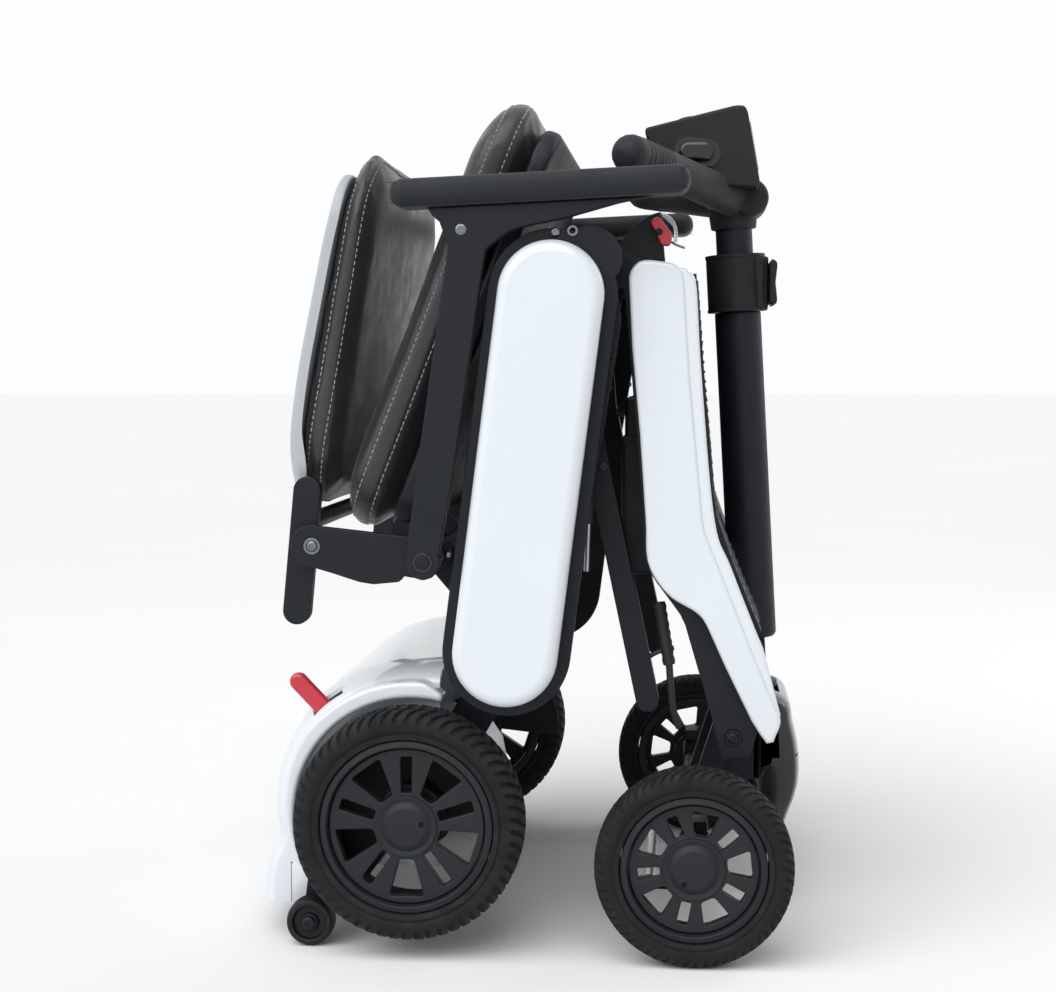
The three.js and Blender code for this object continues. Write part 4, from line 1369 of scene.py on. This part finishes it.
def build_levers(sizes):
    """The two red release levers, the latch's clear guard and its pull wire."""
    node = "freewheel_lever"
    low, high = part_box(node)
    loops = [rounded(loop, sharp=70) for loop in section(node, (low.y + high.y) / 2)]
    add_for(node, plate_mesh(loops, low.y, high.y, 0.0038, rings=5), smooth=50)
    node = "latch_lever"
    low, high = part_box(node)
    blade = plate_mesh([filleted(LATCH_TAB, 0.003)], low.y, high.y, 0.0018, rings=4)
    add_for(node, blade, smooth=50)
    hinge = pivot("latch_release")
    lens = [(hinge.x, high.z + 0.0005), (high.x - 0.004, high.z - 0.001),
            (high.x + 0.004, hinge.z + 0.004), (high.x + 0.0045, hinge.z - 0.008),
            (high.x + 0.0012, hinge.z - 0.008), (high.x + 0.001, hinge.z + 0.003)]
    guard = plate_mesh([rounded(lens, sharp=70)], low.y + 0.001, high.y - 0.001, 0.0008)
    add_piece("latch_guard", guard, body_of(node), "lever_red", finish="clear")
    start = Vector((high.x - 0.003, (low.y + high.y) / 2, low.z + 0.004))
    course = [start + Vector(step) for step in ((0, 0, 0), (0.007, 0, -0.004), (0.014, 0, -0.0065))]
    wire = bar_mesh(course, 0.0011, spacing=0.002, sides=10)
    add_piece("latch_pull_wire", wire, body_of(node), "lever_red", finish="steel")


# ---------------------------------------------------------------- seat


def inset_at(corner, left):
    """How far a round corner pulls the edge in, at a distance from the end."""
    if left >= corner:
        return 0.0
    return corner - math.sqrt(max(corner**2 - (corner - left) ** 2, 0))


def cushion_form(loop, along, half_width, corner, crown, rows=12):
    """Stuffed form across the scooter: round corners in plan and sides that pull in."""
    points = [Vector(point) for point in loop]
    along = Vector(along).normalized()
    upright = Vector((-along.y, along.x))
    spans = [[p.dot(direction) for p in points] for direction in (along, upright)]
    (u0, u1), (w0, w1) = [(min(span), max(span)) for span in spans]
    levels = sorted({side * (half_width - corner * (k / rows) ** 2)
                     for k in range(rows + 1) for _, side in SIDES})
    work = bmesh.new()
    rings = []
    for y in levels:
        left = half_width - abs(y)
        long_scale = 1 - inset_at(corner, left) / ((u1 - u0) / 2)
        thick_scale = 1 - inset_at(crown, left) / ((w1 - w0) / 2)
        ring = []
        for p in points:
            u = (u0 + u1) / 2 + (p.dot(along) - (u0 + u1) / 2) * long_scale
            w = (w0 + w1) / 2 + (p.dot(upright) - (w0 + w1) / 2) * thick_scale
            x, z = along * u + upright * w
            ring.append(work.verts.new((x, y, z)))
        rings.append(ring)
    for first, second in zip(rings, rings[1:]):
        for k in range(len(points)):
            n = (k + 1) % len(points)
            work.faces.new((first[k], first[n], second[n], second[k]))
    work.faces.new(rings[0])
    work.faces.new(rings[-1])
    return finished_mesh(work)


# Cloth recipe of the cushions: size of its mesh and number of frames under pressure.
VOXEL = 0.0055
PRESSURE_FRAMES = 20


def stuffed_mesh(mesh, swell):
    """The form remeshed and blown up as cloth, moving no point further than `swell`."""
    piece = placed(mesh, "stuffing")
    remesh = piece.modifiers.new("remesh", "REMESH")
    remesh.mode = "VOXEL"
    remesh.voxel_size = VOXEL
    start = evaluated(piece)
    bpy.data.meshes.remove(mesh)
    piece = placed(start, "stuffing")
    rest = [v.co.copy() for v in start.vertices]
    cloth = piece.modifiers.new("cloth", "CLOTH")
    cloth.settings.use_pressure = True
    cloth.settings.uniform_pressure_force = 4
    cloth.settings.quality = 5
    cloth.settings.effector_weights.gravity = 0
    cloth.point_cache.frame_start = 1
    cloth.point_cache.frame_end = PRESSURE_FRAMES
    scene = bpy.context.scene
    for number in range(1, PRESSURE_FRAMES + 1):
        scene.frame_set(number)
    blown = evaluated(piece)
    scene.frame_set(1)
    for vertex, origin in zip(blown.vertices, rest):
        shift = vertex.co - origin
        if shift.length > swell:
            vertex.co = origin + shift.normalized() * swell
    bpy.data.meshes.remove(start)
    return blown


SEAM_REACH, SEAM_DEPTH = 0.0042, 0.0013


def seamed_mesh(mesh, upright, seams):
    """The cushion with one subdivision and a sewn groove at each seam's height."""
    piece = placed(mesh)
    soften = piece.modifiers.new("soften", "SMOOTH")
    soften.iterations = 4
    finer = piece.modifiers.new("finer", "SUBSURF")
    finer.levels = 1
    result = evaluated(piece)
    bpy.data.meshes.remove(mesh)
    across = Vector(upright).normalized()
    normals = [vertex.normal.copy() for vertex in result.vertices]
    for vertex, normal in zip(result.vertices, normals):
        side_on = 1 - abs(normal.dot(across))
        height = vertex.co.dot(across)
        for seam in seams:
            near = abs(height - seam) / SEAM_REACH
            if near < 1:
                vertex.co -= normal * SEAM_DEPTH * side_on * (1 - near * near) ** 2
    return result


def fitted(mesh, spans):
    """Stretches a mesh so that it fills each (direction, low, high) span."""
    for direction, low, high in spans:
        reach = [vertex.co.dot(direction) for vertex in mesh.vertices]
        first, last = min(reach), max(reach)
        for vertex, place in zip(mesh.vertices, reach):
            share = (place - first) / (last - first)
            vertex.co += direction * (low + (high - low) * share - place)
    return mesh


def perimeter(centre, along, half_length, half_width, corner, spacing):
    """Points and inward directions round a cushion's edge, from one foot over the top."""
    outline = []
    straight = [(-half_length, -1), (half_length - corner, -1)]
    length_up = straight[1][0] - straight[0][0]
    steps = int(length_up / spacing)
    for k in range(steps + 1):
        outline.append((-half_length + length_up * k / steps, -half_width, 0.0, 1.0))
    turns = max(3, int(corner * math.pi / 2 / spacing))
    for k in range(1, turns):
        a = math.pi / 2 * k / turns
        outline.append((half_length - corner + corner * math.sin(a),
                        -half_width + corner - corner * math.cos(a), -math.sin(a), math.cos(a)))
    steps = int((2 * half_width - 2 * corner) / spacing)
    for k in range(steps + 1):
        outline.append((half_length, -half_width + corner + 2 * (half_width - corner) * k / steps, -1.0, 0.0))
    mirrored = [(u, -v, du, -dv) for u, v, du, dv in reversed(outline) if v < -half_width + corner]
    result = []
    for u, v, du, dv in [*outline, *mirrored]:
        result.append((centre + along * u + ACROSS * v, along * du + ACROSS * dv))
    return result


def stitched(mesh, rails, sizes):
    """Short stitches laid on a cushion along each rail of points and directions."""
    tree = BVHTree.FromPolygons([v.co for v in mesh.vertices], [p.vertices for p in mesh.polygons])
    stitches = []
    for rail in rails:
        hits = []
        for point, inward in rail:
            place, normal, _, _ = tree.ray_cast(point - inward * 0.05, inward, 0.12)
            if place is not None:
                hits.append((place, normal))
        gone, pitch = 0.0, sizes.stitch + sizes.stitch_gap
        for (a, normal), (b, _) in zip(hits, hits[1:]):
            gone += (b - a).length
            if gone < pitch or (b - a).length > pitch:
                continue
            gone -= pitch
            way = (b - a).normalized()
            seat = a + normal * 0.0002
            course = ((-0.5, -0.0004), (-0.3, 0.0003), (0.3, 0.0003), (0.5, -0.0004))
            ends = [seat + way * sizes.stitch * share + normal * rise for share, rise in course]
            stitches.append(stitch_mesh(ends, normal))
    return joined(stitches)


THREAD_RADIUS = 0.00052


def stitch_mesh(points, normal):
    """One stitch: a short thread that dips into the cover at both ends."""
    sides = 6
    work = bmesh.new()
    way = (points[-1] - points[0]).normalized()
    sideways = way.cross(normal).normalized()
    rings = []
    for point, scale in zip(points, (0.5, 1, 1, 0.5)):
        ring = []
        for k in range(sides):
            a = 2 * math.pi * k / sides
            outward = sideways * math.cos(a) + normal * math.sin(a)
            ring.append(work.verts.new(point + outward * THREAD_RADIUS * scale))
        rings.append(ring)
    for first, second in zip(rings, rings[1:]):
        for k in range(sides):
            n = (k + 1) % sides
            work.faces.new((first[k], first[n], second[n], second[k]))
    work.faces.new(rings[0])
    work.faces.new(rings[-1])
    return finished_mesh(work)


# Room that a cushion's form leaves for its swelling, on every side.
CUSHION_SPARE = 0.0045


def build_cushion(node, sizes, along, corner, crown, seams):
    """One stuffed cushion: simulated, seamed and stitched. `seams` are shares of its thickness."""
    low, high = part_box(node)
    loop = offset_outline(rounded(section(node, 0.0)[0], sharp=70), -CUSHION_SPARE)
    along = Vector((along[0], 0, along[1])).normalized()
    upright = Vector((-along.z, 0, along.x))
    points = [Vector((x, 0, z)) for x, z in loop]
    u0, u1 = min(p.dot(along) for p in points), max(p.dot(along) for p in points)
    w0, w1 = min(p.dot(upright) for p in points), max(p.dot(upright) for p in points)
    half_width = high.y - CUSHION_SPARE
    form = cushion_form(loop, (along.x, along.z), half_width, corner, crown)
    mesh = stuffed_mesh(form, sizes.swell)
    heights = [w0 + (w1 - w0) * share for share in seams]
    beside = 0.0032
    grooves = [height + (beside if k else -beside) for k, height in enumerate(heights)]
    mesh = seamed_mesh(mesh, upright, grooves)
    spare = CUSHION_SPARE
    spans = ((along, u0 - spare, u1 + spare), (ACROSS, low.y, high.y), (upright, w0 - spare / 2, w1 + spare))
    mesh = fitted(mesh, spans)
    rails = []
    for height in heights:
        centre = along * ((u0 + u1) / 2) + upright * height
        rails.append(perimeter(centre, along, (u1 - u0) / 2, high.y, corner, 0.0012))
    thread = stitched(mesh, rails, sizes)
    cushion = add_for(node, mesh, smooth=60, weighted=False)
    add_piece(f"{node}_stitching", thread, body_of(node), SLOTS[node], finish="thread", smooth=60,
              weighted=False)


# The seat tray's side view in the seat's own frame: distance from the hinge along it and out of it.
PAN_CORNERS = ((0.008, 0.029), (0.384, 0.029), (0.384, 0.046), (0.008, 0.046))


def build_cushions(sizes):
    """Seat and backrest cushions in leatherette with pale double stitching."""
    build_cushion("seat_cushion", sizes, seat_direction(), 0.048, 0.012, (0.33, 0.70))
    build_cushion("backrest_cushion", sizes, back_direction(), 0.062, 0.010, (0.40, 0.80))


def build_seat_pan(sizes):
    """Moulded tray under the seat cushion, round-cornered, with two hinge ears."""
    hinge = pivot("seat_fold")
    along = Vector(seat_direction())
    upright = Vector((-along.y, along.x))

    def on_seat(x, z):
        return tuple(Vector((hinge.x, hinge.z)) + along * x + upright * z)

    tray = filleted([on_seat(*corner) for corner in PAN_CORNERS], 0.007)
    form = cushion_form(tray, along, 0.198, 0.036, 0.005)
    ears = []
    for _, side in SIDES:
        near, far = sorted((side * 0.172, side * 0.186))
        ear = slot_outline(on_seat(0, 0), on_seat(0.01, 0.029), 0.015)
        ears.append(plate_mesh([ear], near, far, sizes.edge))
    add_for("seat_pan", joined([form, *ears]), smooth=50)


def long_direction(node):
    """The lengthwise direction of a cushion's side view, as (x, z)."""
    loop = section(node, 0.0)[0]
    longest = max((Vector(b) - Vector(a) for a, b in zip(loop, loop[1:] + loop[:1])), key=lambda e: e.length)
    way = longest.normalized()
    return way if way.y > 0 else -way


def seat_direction():
    return long_direction("seat_cushion")


def back_direction():
    loop = section("backrest_cushion", 0.0)[0]
    top, foot = max(loop, key=lambda p: p[1]), min(loop, key=lambda p: p[1])
    return (Vector(top) - Vector(foot)).normalized()


def build_back_shell(sizes):
    """Light grey moulded shell behind the backrest, round-cornered."""
    node = "backrest_shell"
    loop = filleted(section(node, 0.0)[0], 0.06, steps=6)
    form = cushion_form(loop, back_direction(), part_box(node)[1].y, 0.042, 0.0032, rows=10)
    add_for(node, form, smooth=50)


def build_armrest_pads(sizes):
    """Soft pads with full round edges and a moulded seam line."""
    for word, side in SIDES:
        node = f"armrest_pad_{word}"
        low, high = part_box(node)
        loop = rounded(section(node, (low.y + high.y) / 2)[0], sharp=60, step=4)
        pad = add_for(node, plate_mesh([loop], low.y, high.y, 0.0098, rings=8), smooth=60)
        outer = low.y if side < 0 else high.y
        level = outer - side * 0.0042
        path = [Vector((x, level, z)) for x, z in offset_outline(loop, -0.00335)]
        bead = bar_mesh([*path, path[0]], 0.0007, spacing=0.004, sides=8)
        add_piece(f"armrest_bead_{word}", bead, body_of(node), "grip_rubber")


# ---------------------------------------------------------------- screws and small parts


def screw_mesh(centre, side, radius, height=0.0022):
    """Button-head screw with a six-sided socket, facing out to one side."""
    head = filleted([(0, 0), (radius, 0), (radius, height * 0.35), (radius * 0.72, height), (0, height)],
                    radius * 0.12, closed=False, steps=3)
    body = turned_mesh(head, centre, ACROSS * side, 40)
    key = turned_mesh([(0, 0), (radius * 0.46, 0), (radius * 0.46, height), (0, height)],
                      Vector(centre) + ACROSS * side * height * 0.45, ACROSS * side, 6)
    return cut_mesh(body, key)


def washer_mesh(centre, side, inner, outer, height):
    """Flat ring facing out to one side."""
    ring = filleted([(inner, 0), (outer, 0), (outer, height), (inner, height)], 0.0004)
    return turned_mesh(ring, centre, ACROSS * side, 40, closed=True)


def face_of(node, side):
    """The outer side face of a piece, as a y value."""
    low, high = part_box(node)
    return low.y if side < 0 else high.y


# How far out from the middle the faces are that carry the screws.
BRACKET_FACE, BACKING_FACE, ARM_FACE, HINGE_FACE, ROLLER_FACE = 0.236, 0.2376, 0.222, 0.2028, 0.2246
# Places of the screws on each frame arm, as (x, z), and of the one at each armrest post's top.
ARM_SCREWS = ((0.1735, 0.519), (0.1695, 0.491), (0.1655, 0.424))
POST_SCREW = (0.0475, 0.6235)


def build_screws(sizes):
    """Screws, washers and rings on the hinges and plates."""
    back, seat, apex = pivot("backrest_recline"), pivot("seat_fold"), pivot("deck_fold")
    deck, pod = pivot("front_level"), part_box("frame_cover_right")[0]
    for word, side in SIDES:
        def out(x, z, face):
            return Vector((x, side * face, z))

        def bright(name, meshes, body):
            add_piece(f"{name}_{word}", joined(meshes), body, "bare_alloy", finish="steel")

        post = f"armrest_post_{word}"
        post_face = abs(face_of(post, side))
        hinge = out(back.x, back.z, BRACKET_FACE)
        bright("back_pivot_screw", [screw_mesh(hinge, side, 0.0048),
                                    washer_mesh(hinge, side, 0.0050, 0.0072, 0.0007)], "rear_unit")
        ring = washer_mesh(out(seat.x, seat.z, post_face), side, 0.0062, 0.0082, 0.0006)
        add_piece(f"arm_pivot_ring_{word}", ring, body_of(post), "frame_black", finish="gloss_black")
        bright("arm_top_screw", [screw_mesh(out(*POST_SCREW, post_face), side, 0.0048, 0.0012)], body_of(post))
        bright("frame_top_screws", [
            screw_mesh(out(apex.x - 0.029, apex.z + 0.0215, BACKING_FACE), side, 0.0042),
            washer_mesh(out(apex.x - 0.0145, apex.z + 0.0225, BACKING_FACE), side, 0.0026, 0.0046, 0.0016),
        ], "rear_frame")
        beside_pod = out(pod.x - 0.0045, pod.z + 0.128, BACKING_FACE)
        bright("backing_screw", [screw_mesh(beside_pod, side, 0.0026)], "rear_frame")
        row = [screw_mesh(out(x, z, ARM_FACE), side, 0.0038, 0.0016) for x, z in ARM_SCREWS]
        add_piece(f"frame_arm_screws_{word}", joined(row), "rear_frame", "frame_black")
        low_hinge = [screw_mesh(out(deck.x, deck.z, HINGE_FACE), side, 0.0052),
                     washer_mesh(out(deck.x, deck.z, HINGE_FACE - 0.0007), side, 0.0054, 0.0074, 0.001)]
        add_piece(f"deck_hinge_screw_{word}", joined(low_hinge), "front_unit", "frame_black")
        roller = centre_of(f"anti_tip_wheel_{word}")
        axle = screw_mesh(out(roller.x, roller.z, ROLLER_FACE), side, 0.0058, 0.0016)
        add_piece(f"roller_screw_{word}", axle, "rear_unit", "frame_black")


# The harness runs down in one plane beside the deck: its boot's ends, then its lead and its clip.
HARNESS_Y = -0.172
BOOT_TOP, BOOT_FOOT = (0.213, HARNESS_Y, 0.302), (0.222, HARNESS_Y, 0.247)
LEAD_COURSE = (BOOT_FOOT, (0.2235, HARNESS_Y, 0.226), (0.2255, -0.170, 0.206), (0.231, -0.168, 0.190))
CLIP_COURSE = ((0.200, HARNESS_Y, 0.251), (0.212, HARNESS_Y, 0.258), (0.226, HARNESS_Y, 0.262))


def build_fittings(sizes):
    """The deck's catch rod and sleeve, and the pleated boot, lead and clip of its harness."""
    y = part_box("deck_strut_right")[0].y - 0.006
    stub = rod_mesh((0.1515, y, 0.384), (0.1495, y, 0.33), 0.0026, 0.0006, 24)
    sleeve = rod_mesh((0.1522, y, 0.392), (0.1508, y, 0.372), 0.0045, 0.001, 24)
    add_piece("catch_rod", stub, "deck_frame", "bare_alloy")
    add_piece("catch_sleeve", sleeve, "deck_frame", "frame_black", finish="cord_black")
    along = Vector(BOOT_FOOT) - Vector(BOOT_TOP)
    pleats = 7
    folds = [(0, 0)]
    for k in range(pleats):
        folds += [(0.0050, along.length * k / pleats), (0.0058, along.length * (k + 0.5) / pleats)]
    folds += [(0.0052, along.length), (0, along.length)]
    harness = (("boot", turned_mesh(folds, BOOT_TOP, along, 32), 25),
               ("lead", bar_mesh(LEAD_COURSE, 0.0032, sides=12), SHARP_EDGE),
               ("clip", bar_mesh(CLIP_COURSE, 0.0022, sides=10), SHARP_EDGE))
    for name, mesh, smooth in harness:
        add_piece(f"harness_{name}", mesh, "deck_frame", "plastic_black", finish="cord_black",
                  smooth=smooth)


# ---------------------------------------------------------------- stage


SUN_STRENGTH, SUN_SPREAD = 2.45, 70
SUN_DIRECTION = (0.30, 0.62, -0.80)
AMBIENT = 0.42
CAMERA_PLACE = (0.248, -1.802, 0.505)
CAMERA_DIP, CAMERA_TURN, CAMERA_LENS = 3.84, 5.3, 63.3


def build_stage(colours):
    """Pale floor, soft studio lights, pale surroundings and the camera."""
    scene = bpy.context.scene
    work = bmesh.new()
    bmesh.ops.create_circle(work, cap_ends=True, segments=96, radius=40)
    floor = placed(finished_mesh(work), "stage_floor")
    floor.data.materials.append(make_finish("stage_floor", colours.floor, 0.85, depth=0.02, scale=0.8,
                                            grain=("grain", 90.0, 0.02), specular=0.1))
    build_surroundings(scene)
    add_light("key", (-1.5, -1.9, 1.5), 0.9, 4, (0.0, 0, 0.4))
    add_light("rim", (1.9, 0.9, 1.6), 1.2, 7, (0.1, 0, 0.4))
    lamp = bpy.data.lights.new("studio", "SUN")
    lamp.energy = SUN_STRENGTH
    lamp.angle = math.radians(SUN_SPREAD)
    sun = placed(lamp, "studio")
    sun.rotation_euler = Vector(SUN_DIRECTION).to_track_quat("-Z", "Y").to_euler()
    scene.view_settings.view_transform = "Standard"
    lens = bpy.data.cameras.new("view")
    lens.lens = CAMERA_LENS
    lens.sensor_width = 36
    lens.clip_end = 200
    camera = placed(lens, "view")
    camera.location = CAMERA_PLACE
    camera.rotation_euler = (math.radians(90 - CAMERA_DIP), 0, math.radians(CAMERA_TURN))
    scene.camera = camera


def build_surroundings(scene):
    """White surroundings that light the scooter more softly than they look."""
    world = bpy.data.worlds.new("surroundings")
    world.use_nodes = True
    tree = world.node_tree
    backdrop = tree.nodes["Background"]
    backdrop.inputs["Color"].default_value = (0.97, 0.985, 1.0, 1)
    path = tree.nodes.new("ShaderNodeLightPath")
    strength = tree.nodes.new("ShaderNodeMix")
    strength.inputs[2].default_value = AMBIENT
    strength.inputs[3].default_value = 1.0
    seen = tree.nodes.new("ShaderNodeMath")
    seen.operation = "ADD"
    seen.use_clamp = True
    tree.links.new(path.outputs["Is Camera Ray"], seen.inputs[0])
    tree.links.new(path.outputs["Is Glossy Ray"], seen.inputs[1])
    tree.links.new(seen.outputs[0], strength.inputs["Factor"])
    tree.links.new(strength.outputs[0], backdrop.inputs["Strength"])
    scene.world = world


def add_light(name, place, size, power, target):
    """Large soft square lamp aimed at a point."""
    lamp = bpy.data.lights.new(name, "AREA")
    lamp.shape = "SQUARE"
    lamp.size = size
    lamp.energy = power
    piece = placed(lamp, name)
    piece.location = place
    piece.rotation_euler = (Vector(target) - Vector(place)).to_track_quat("-Z", "Y").to_euler()


# ---------------------------------------------------------------- operators and panel


class SCOOTER_OT_plates(bpy.types.Operator):
    """Builds the frame's plates, shafts and castings"""

    bl_idname = "scooter.plates"
    bl_label = "Frame Plates"

    def execute(self, context):
        build_plates(context.scene.scooter_sizes)
        return {"FINISHED"}


class SCOOTER_OT_armrest_posts(bpy.types.Operator):
    """Builds the two flat armrest posts"""

    bl_idname = "scooter.armrest_posts"
    bl_label = "Armrest Posts"

    def execute(self, context):
        build_armrest_posts(context.scene.scooter_sizes)
        return {"FINISHED"}


class SCOOTER_OT_pods(bpy.types.Operator):
    """Builds the long gloss covers on the frame's two sides"""

    bl_idname = "scooter.pods"
    bl_label = "Frame Covers"

    def execute(self, context):
        build_pods(context.scene.scooter_sizes)
        return {"FINISHED"}


class SCOOTER_OT_deck_panels(bpy.types.Operator):
    """Builds the white side panels of the deck and their lips"""

    bl_idname = "scooter.deck_panels"
    bl_label = "Deck Panels"

    def execute(self, context):
        build_deck_panels(context.scene.scooter_sizes)
        return {"FINISHED"}


class SCOOTER_OT_deck_floor(bpy.types.Operator):
    """Builds the foot deck and the ribs of its rubber mat"""

    bl_idname = "scooter.deck_floor"
    bl_label = "Deck Floor"

    def execute(self, context):
        build_deck_floor(context.scene.scooter_sizes)
        return {"FINISHED"}


class SCOOTER_OT_battery(bpy.types.Operator):
    """Builds the battery case, its strap and its charging socket"""

    bl_idname = "scooter.battery"
    bl_label = "Battery"

    def execute(self, context):
        build_battery(context.scene.scooter_sizes)
        return {"FINISHED"}


class SCOOTER_OT_rear_cover(bpy.types.Operator):
    """Builds the white tail cover and its wheel lips"""

    bl_idname = "scooter.rear_cover"
    bl_label = "Tail Cover"

    def execute(self, context):
        build_rear_cover(context.scene.scooter_sizes)
        return {"FINISHED"}


class SCOOTER_OT_wheel_liners(bpy.types.Operator):
    """Builds the black liners behind the rear wheels"""

    bl_idname = "scooter.wheel_liners"
    bl_label = "Wheel Liners"

    def execute(self, context):
        build_wheel_liners(context.scene.scooter_sizes)
        return {"FINISHED"}


class SCOOTER_OT_front_cover(bpy.types.Operator):
    """Builds the gloss black cover of the steering head"""

    bl_idname = "scooter.front_cover"
    bl_label = "Front Cover"

    def execute(self, context):
        build_front_cover(context.scene.scooter_sizes)
        return {"FINISHED"}


class SCOOTER_OT_tyres(bpy.types.Operator):
    """Builds the four treaded tyres"""

    bl_idname = "scooter.tyres"
    bl_label = "Tyres"

    def execute(self, context):
        build_tyres(context.scene.scooter_sizes)
        return {"FINISHED"}


class SCOOTER_OT_rims(bpy.types.Operator):
    """Builds the four spoked rims and the rear hub drums"""

    bl_idname = "scooter.rims"
    bl_label = "Rims"

    def execute(self, context):
        build_rims(context.scene.scooter_sizes)
        return {"FINISHED"}


class SCOOTER_OT_small_wheels(bpy.types.Operator):
    """Builds the two small anti-tip rollers"""

    bl_idname = "scooter.small_wheels"
    bl_label = "Anti-Tip Wheels"

    def execute(self, context):
        build_small_wheels(context.scene.scooter_sizes)
        return {"FINISHED"}


class SCOOTER_OT_tiller(bpy.types.Operator):
    """Builds the telescoping tiller, its collar and its clamp lever"""

    bl_idname = "scooter.tiller"
    bl_label = "Tiller"

    def execute(self, context):
        build_tiller(context.scene.scooter_sizes)
        return {"FINISHED"}


class SCOOTER_OT_handlebar(bpy.types.Operator):
    """Builds the swept handlebar and its grips"""

    bl_idname = "scooter.handlebar"
    bl_label = "Handlebar"

    def execute(self, context):
        build_handlebar(context.scene.scooter_sizes)
        return {"FINISHED"}


class SCOOTER_OT_console(bpy.types.Operator):
    """Builds the console with its dial, buttons and throttle levers"""

    bl_idname = "scooter.console"
    bl_label = "Console"

    def execute(self, context):
        build_console(context.scene.scooter_sizes)
        return {"FINISHED"}


class SCOOTER_OT_levers(bpy.types.Operator):
    """Builds the two red release levers and the latch's guard"""

    bl_idname = "scooter.levers"
    bl_label = "Release Levers"

    def execute(self, context):
        build_levers(context.scene.scooter_sizes)
        return {"FINISHED"}


class SCOOTER_OT_seat_pan(bpy.types.Operator):
    """Builds the tray under the seat cushion"""

    bl_idname = "scooter.seat_pan"
    bl_label = "Seat Tray"

    def execute(self, context):
        build_seat_pan(context.scene.scooter_sizes)
        return {"FINISHED"}


class SCOOTER_OT_back_shell(bpy.types.Operator):
    """Builds the light grey shell behind the backrest"""

    bl_idname = "scooter.back_shell"
    bl_label = "Backrest Shell"

    def execute(self, context):
        build_back_shell(context.scene.scooter_sizes)
        return {"FINISHED"}


class SCOOTER_OT_cushions(bpy.types.Operator):
    """Builds the stuffed seat and backrest cushions and their stitching"""

    bl_idname = "scooter.cushions"
    bl_label = "Cushions"

    def execute(self, context):
        build_cushions(context.scene.scooter_sizes)
        return {"FINISHED"}


class SCOOTER_OT_armrest_pads(bpy.types.Operator):
    """Builds the two armrest pads"""

    bl_idname = "scooter.armrest_pads"
    bl_label = "Armrest Pads"

    def execute(self, context):
        build_armrest_pads(context.scene.scooter_sizes)
        return {"FINISHED"}


class SCOOTER_OT_screws(bpy.types.Operator):
    """Builds the screws, washers and rings on the hinges"""

    bl_idname = "scooter.screws"
    bl_label = "Screws"

    def execute(self, context):
        build_screws(context.scene.scooter_sizes)
        return {"FINISHED"}


class SCOOTER_OT_fittings(bpy.types.Operator):
    """Builds the catch rod, the harness boot and its lead"""

    bl_idname = "scooter.fittings"
    bl_label = "Fittings"

    def execute(self, context):
        build_fittings(context.scene.scooter_sizes)
        return {"FINISHED"}


class SCOOTER_OT_stage(bpy.types.Operator):
    """Builds the floor, the studio lights and the camera"""

    bl_idname = "scooter.stage"
    bl_label = "Stage"

    def execute(self, context):
        build_stage(context.scene.scooter_colours)
        return {"FINISHED"}


STEPS = (
    SCOOTER_OT_plates,
    SCOOTER_OT_armrest_posts,
    SCOOTER_OT_pods,
    SCOOTER_OT_deck_panels,
    SCOOTER_OT_deck_floor,
    SCOOTER_OT_battery,
    SCOOTER_OT_rear_cover,
    SCOOTER_OT_wheel_liners,
    SCOOTER_OT_front_cover,
    SCOOTER_OT_tyres,
    SCOOTER_OT_rims,
    SCOOTER_OT_small_wheels,
    SCOOTER_OT_tiller,
    SCOOTER_OT_handlebar,
    SCOOTER_OT_console,
    SCOOTER_OT_levers,
    SCOOTER_OT_seat_pan,
    SCOOTER_OT_back_shell,
    SCOOTER_OT_cushions,
    SCOOTER_OT_armrest_pads,
    SCOOTER_OT_screws,
    SCOOTER_OT_fittings,
    SCOOTER_OT_stage,
)


class SCOOTER_PT_steps(bpy.types.Panel):
    """Lists the building steps in the order they are run."""

    bl_idname = "SCOOTER_PT_steps"
    bl_label = "Scooter"
    bl_space_type = "VIEW_3D"
    bl_region_type = "UI"
    bl_category = "Scooter"

    def draw(self, context):
        for step in STEPS:
            self.layout.operator(step.bl_idname, text=step.bl_label)
        for group in (context.scene.scooter_sizes, context.scene.scooter_colours):
            box = self.layout.box()
            for name in group.__annotations__:
                box.prop(group, name)


CLASSES = (ScooterSizes, ScooterColours, *STEPS, SCOOTER_PT_steps)


def register():
    for kind in CLASSES:
        bpy.utils.register_class(kind)
    bpy.types.Scene.scooter_sizes = PointerProperty(type=ScooterSizes)
    bpy.types.Scene.scooter_colours = PointerProperty(type=ScooterColours)


def unregister():
    del bpy.types.Scene.scooter_colours
    del bpy.types.Scene.scooter_sizes
    for kind in reversed(CLASSES):
        bpy.utils.unregister_class(kind)


def main():
    register()
    for step in STEPS:
        group, name = step.bl_idname.split(".")
        getattr(getattr(bpy.ops, group), name)()


if __name__ == "__main__":
    main()
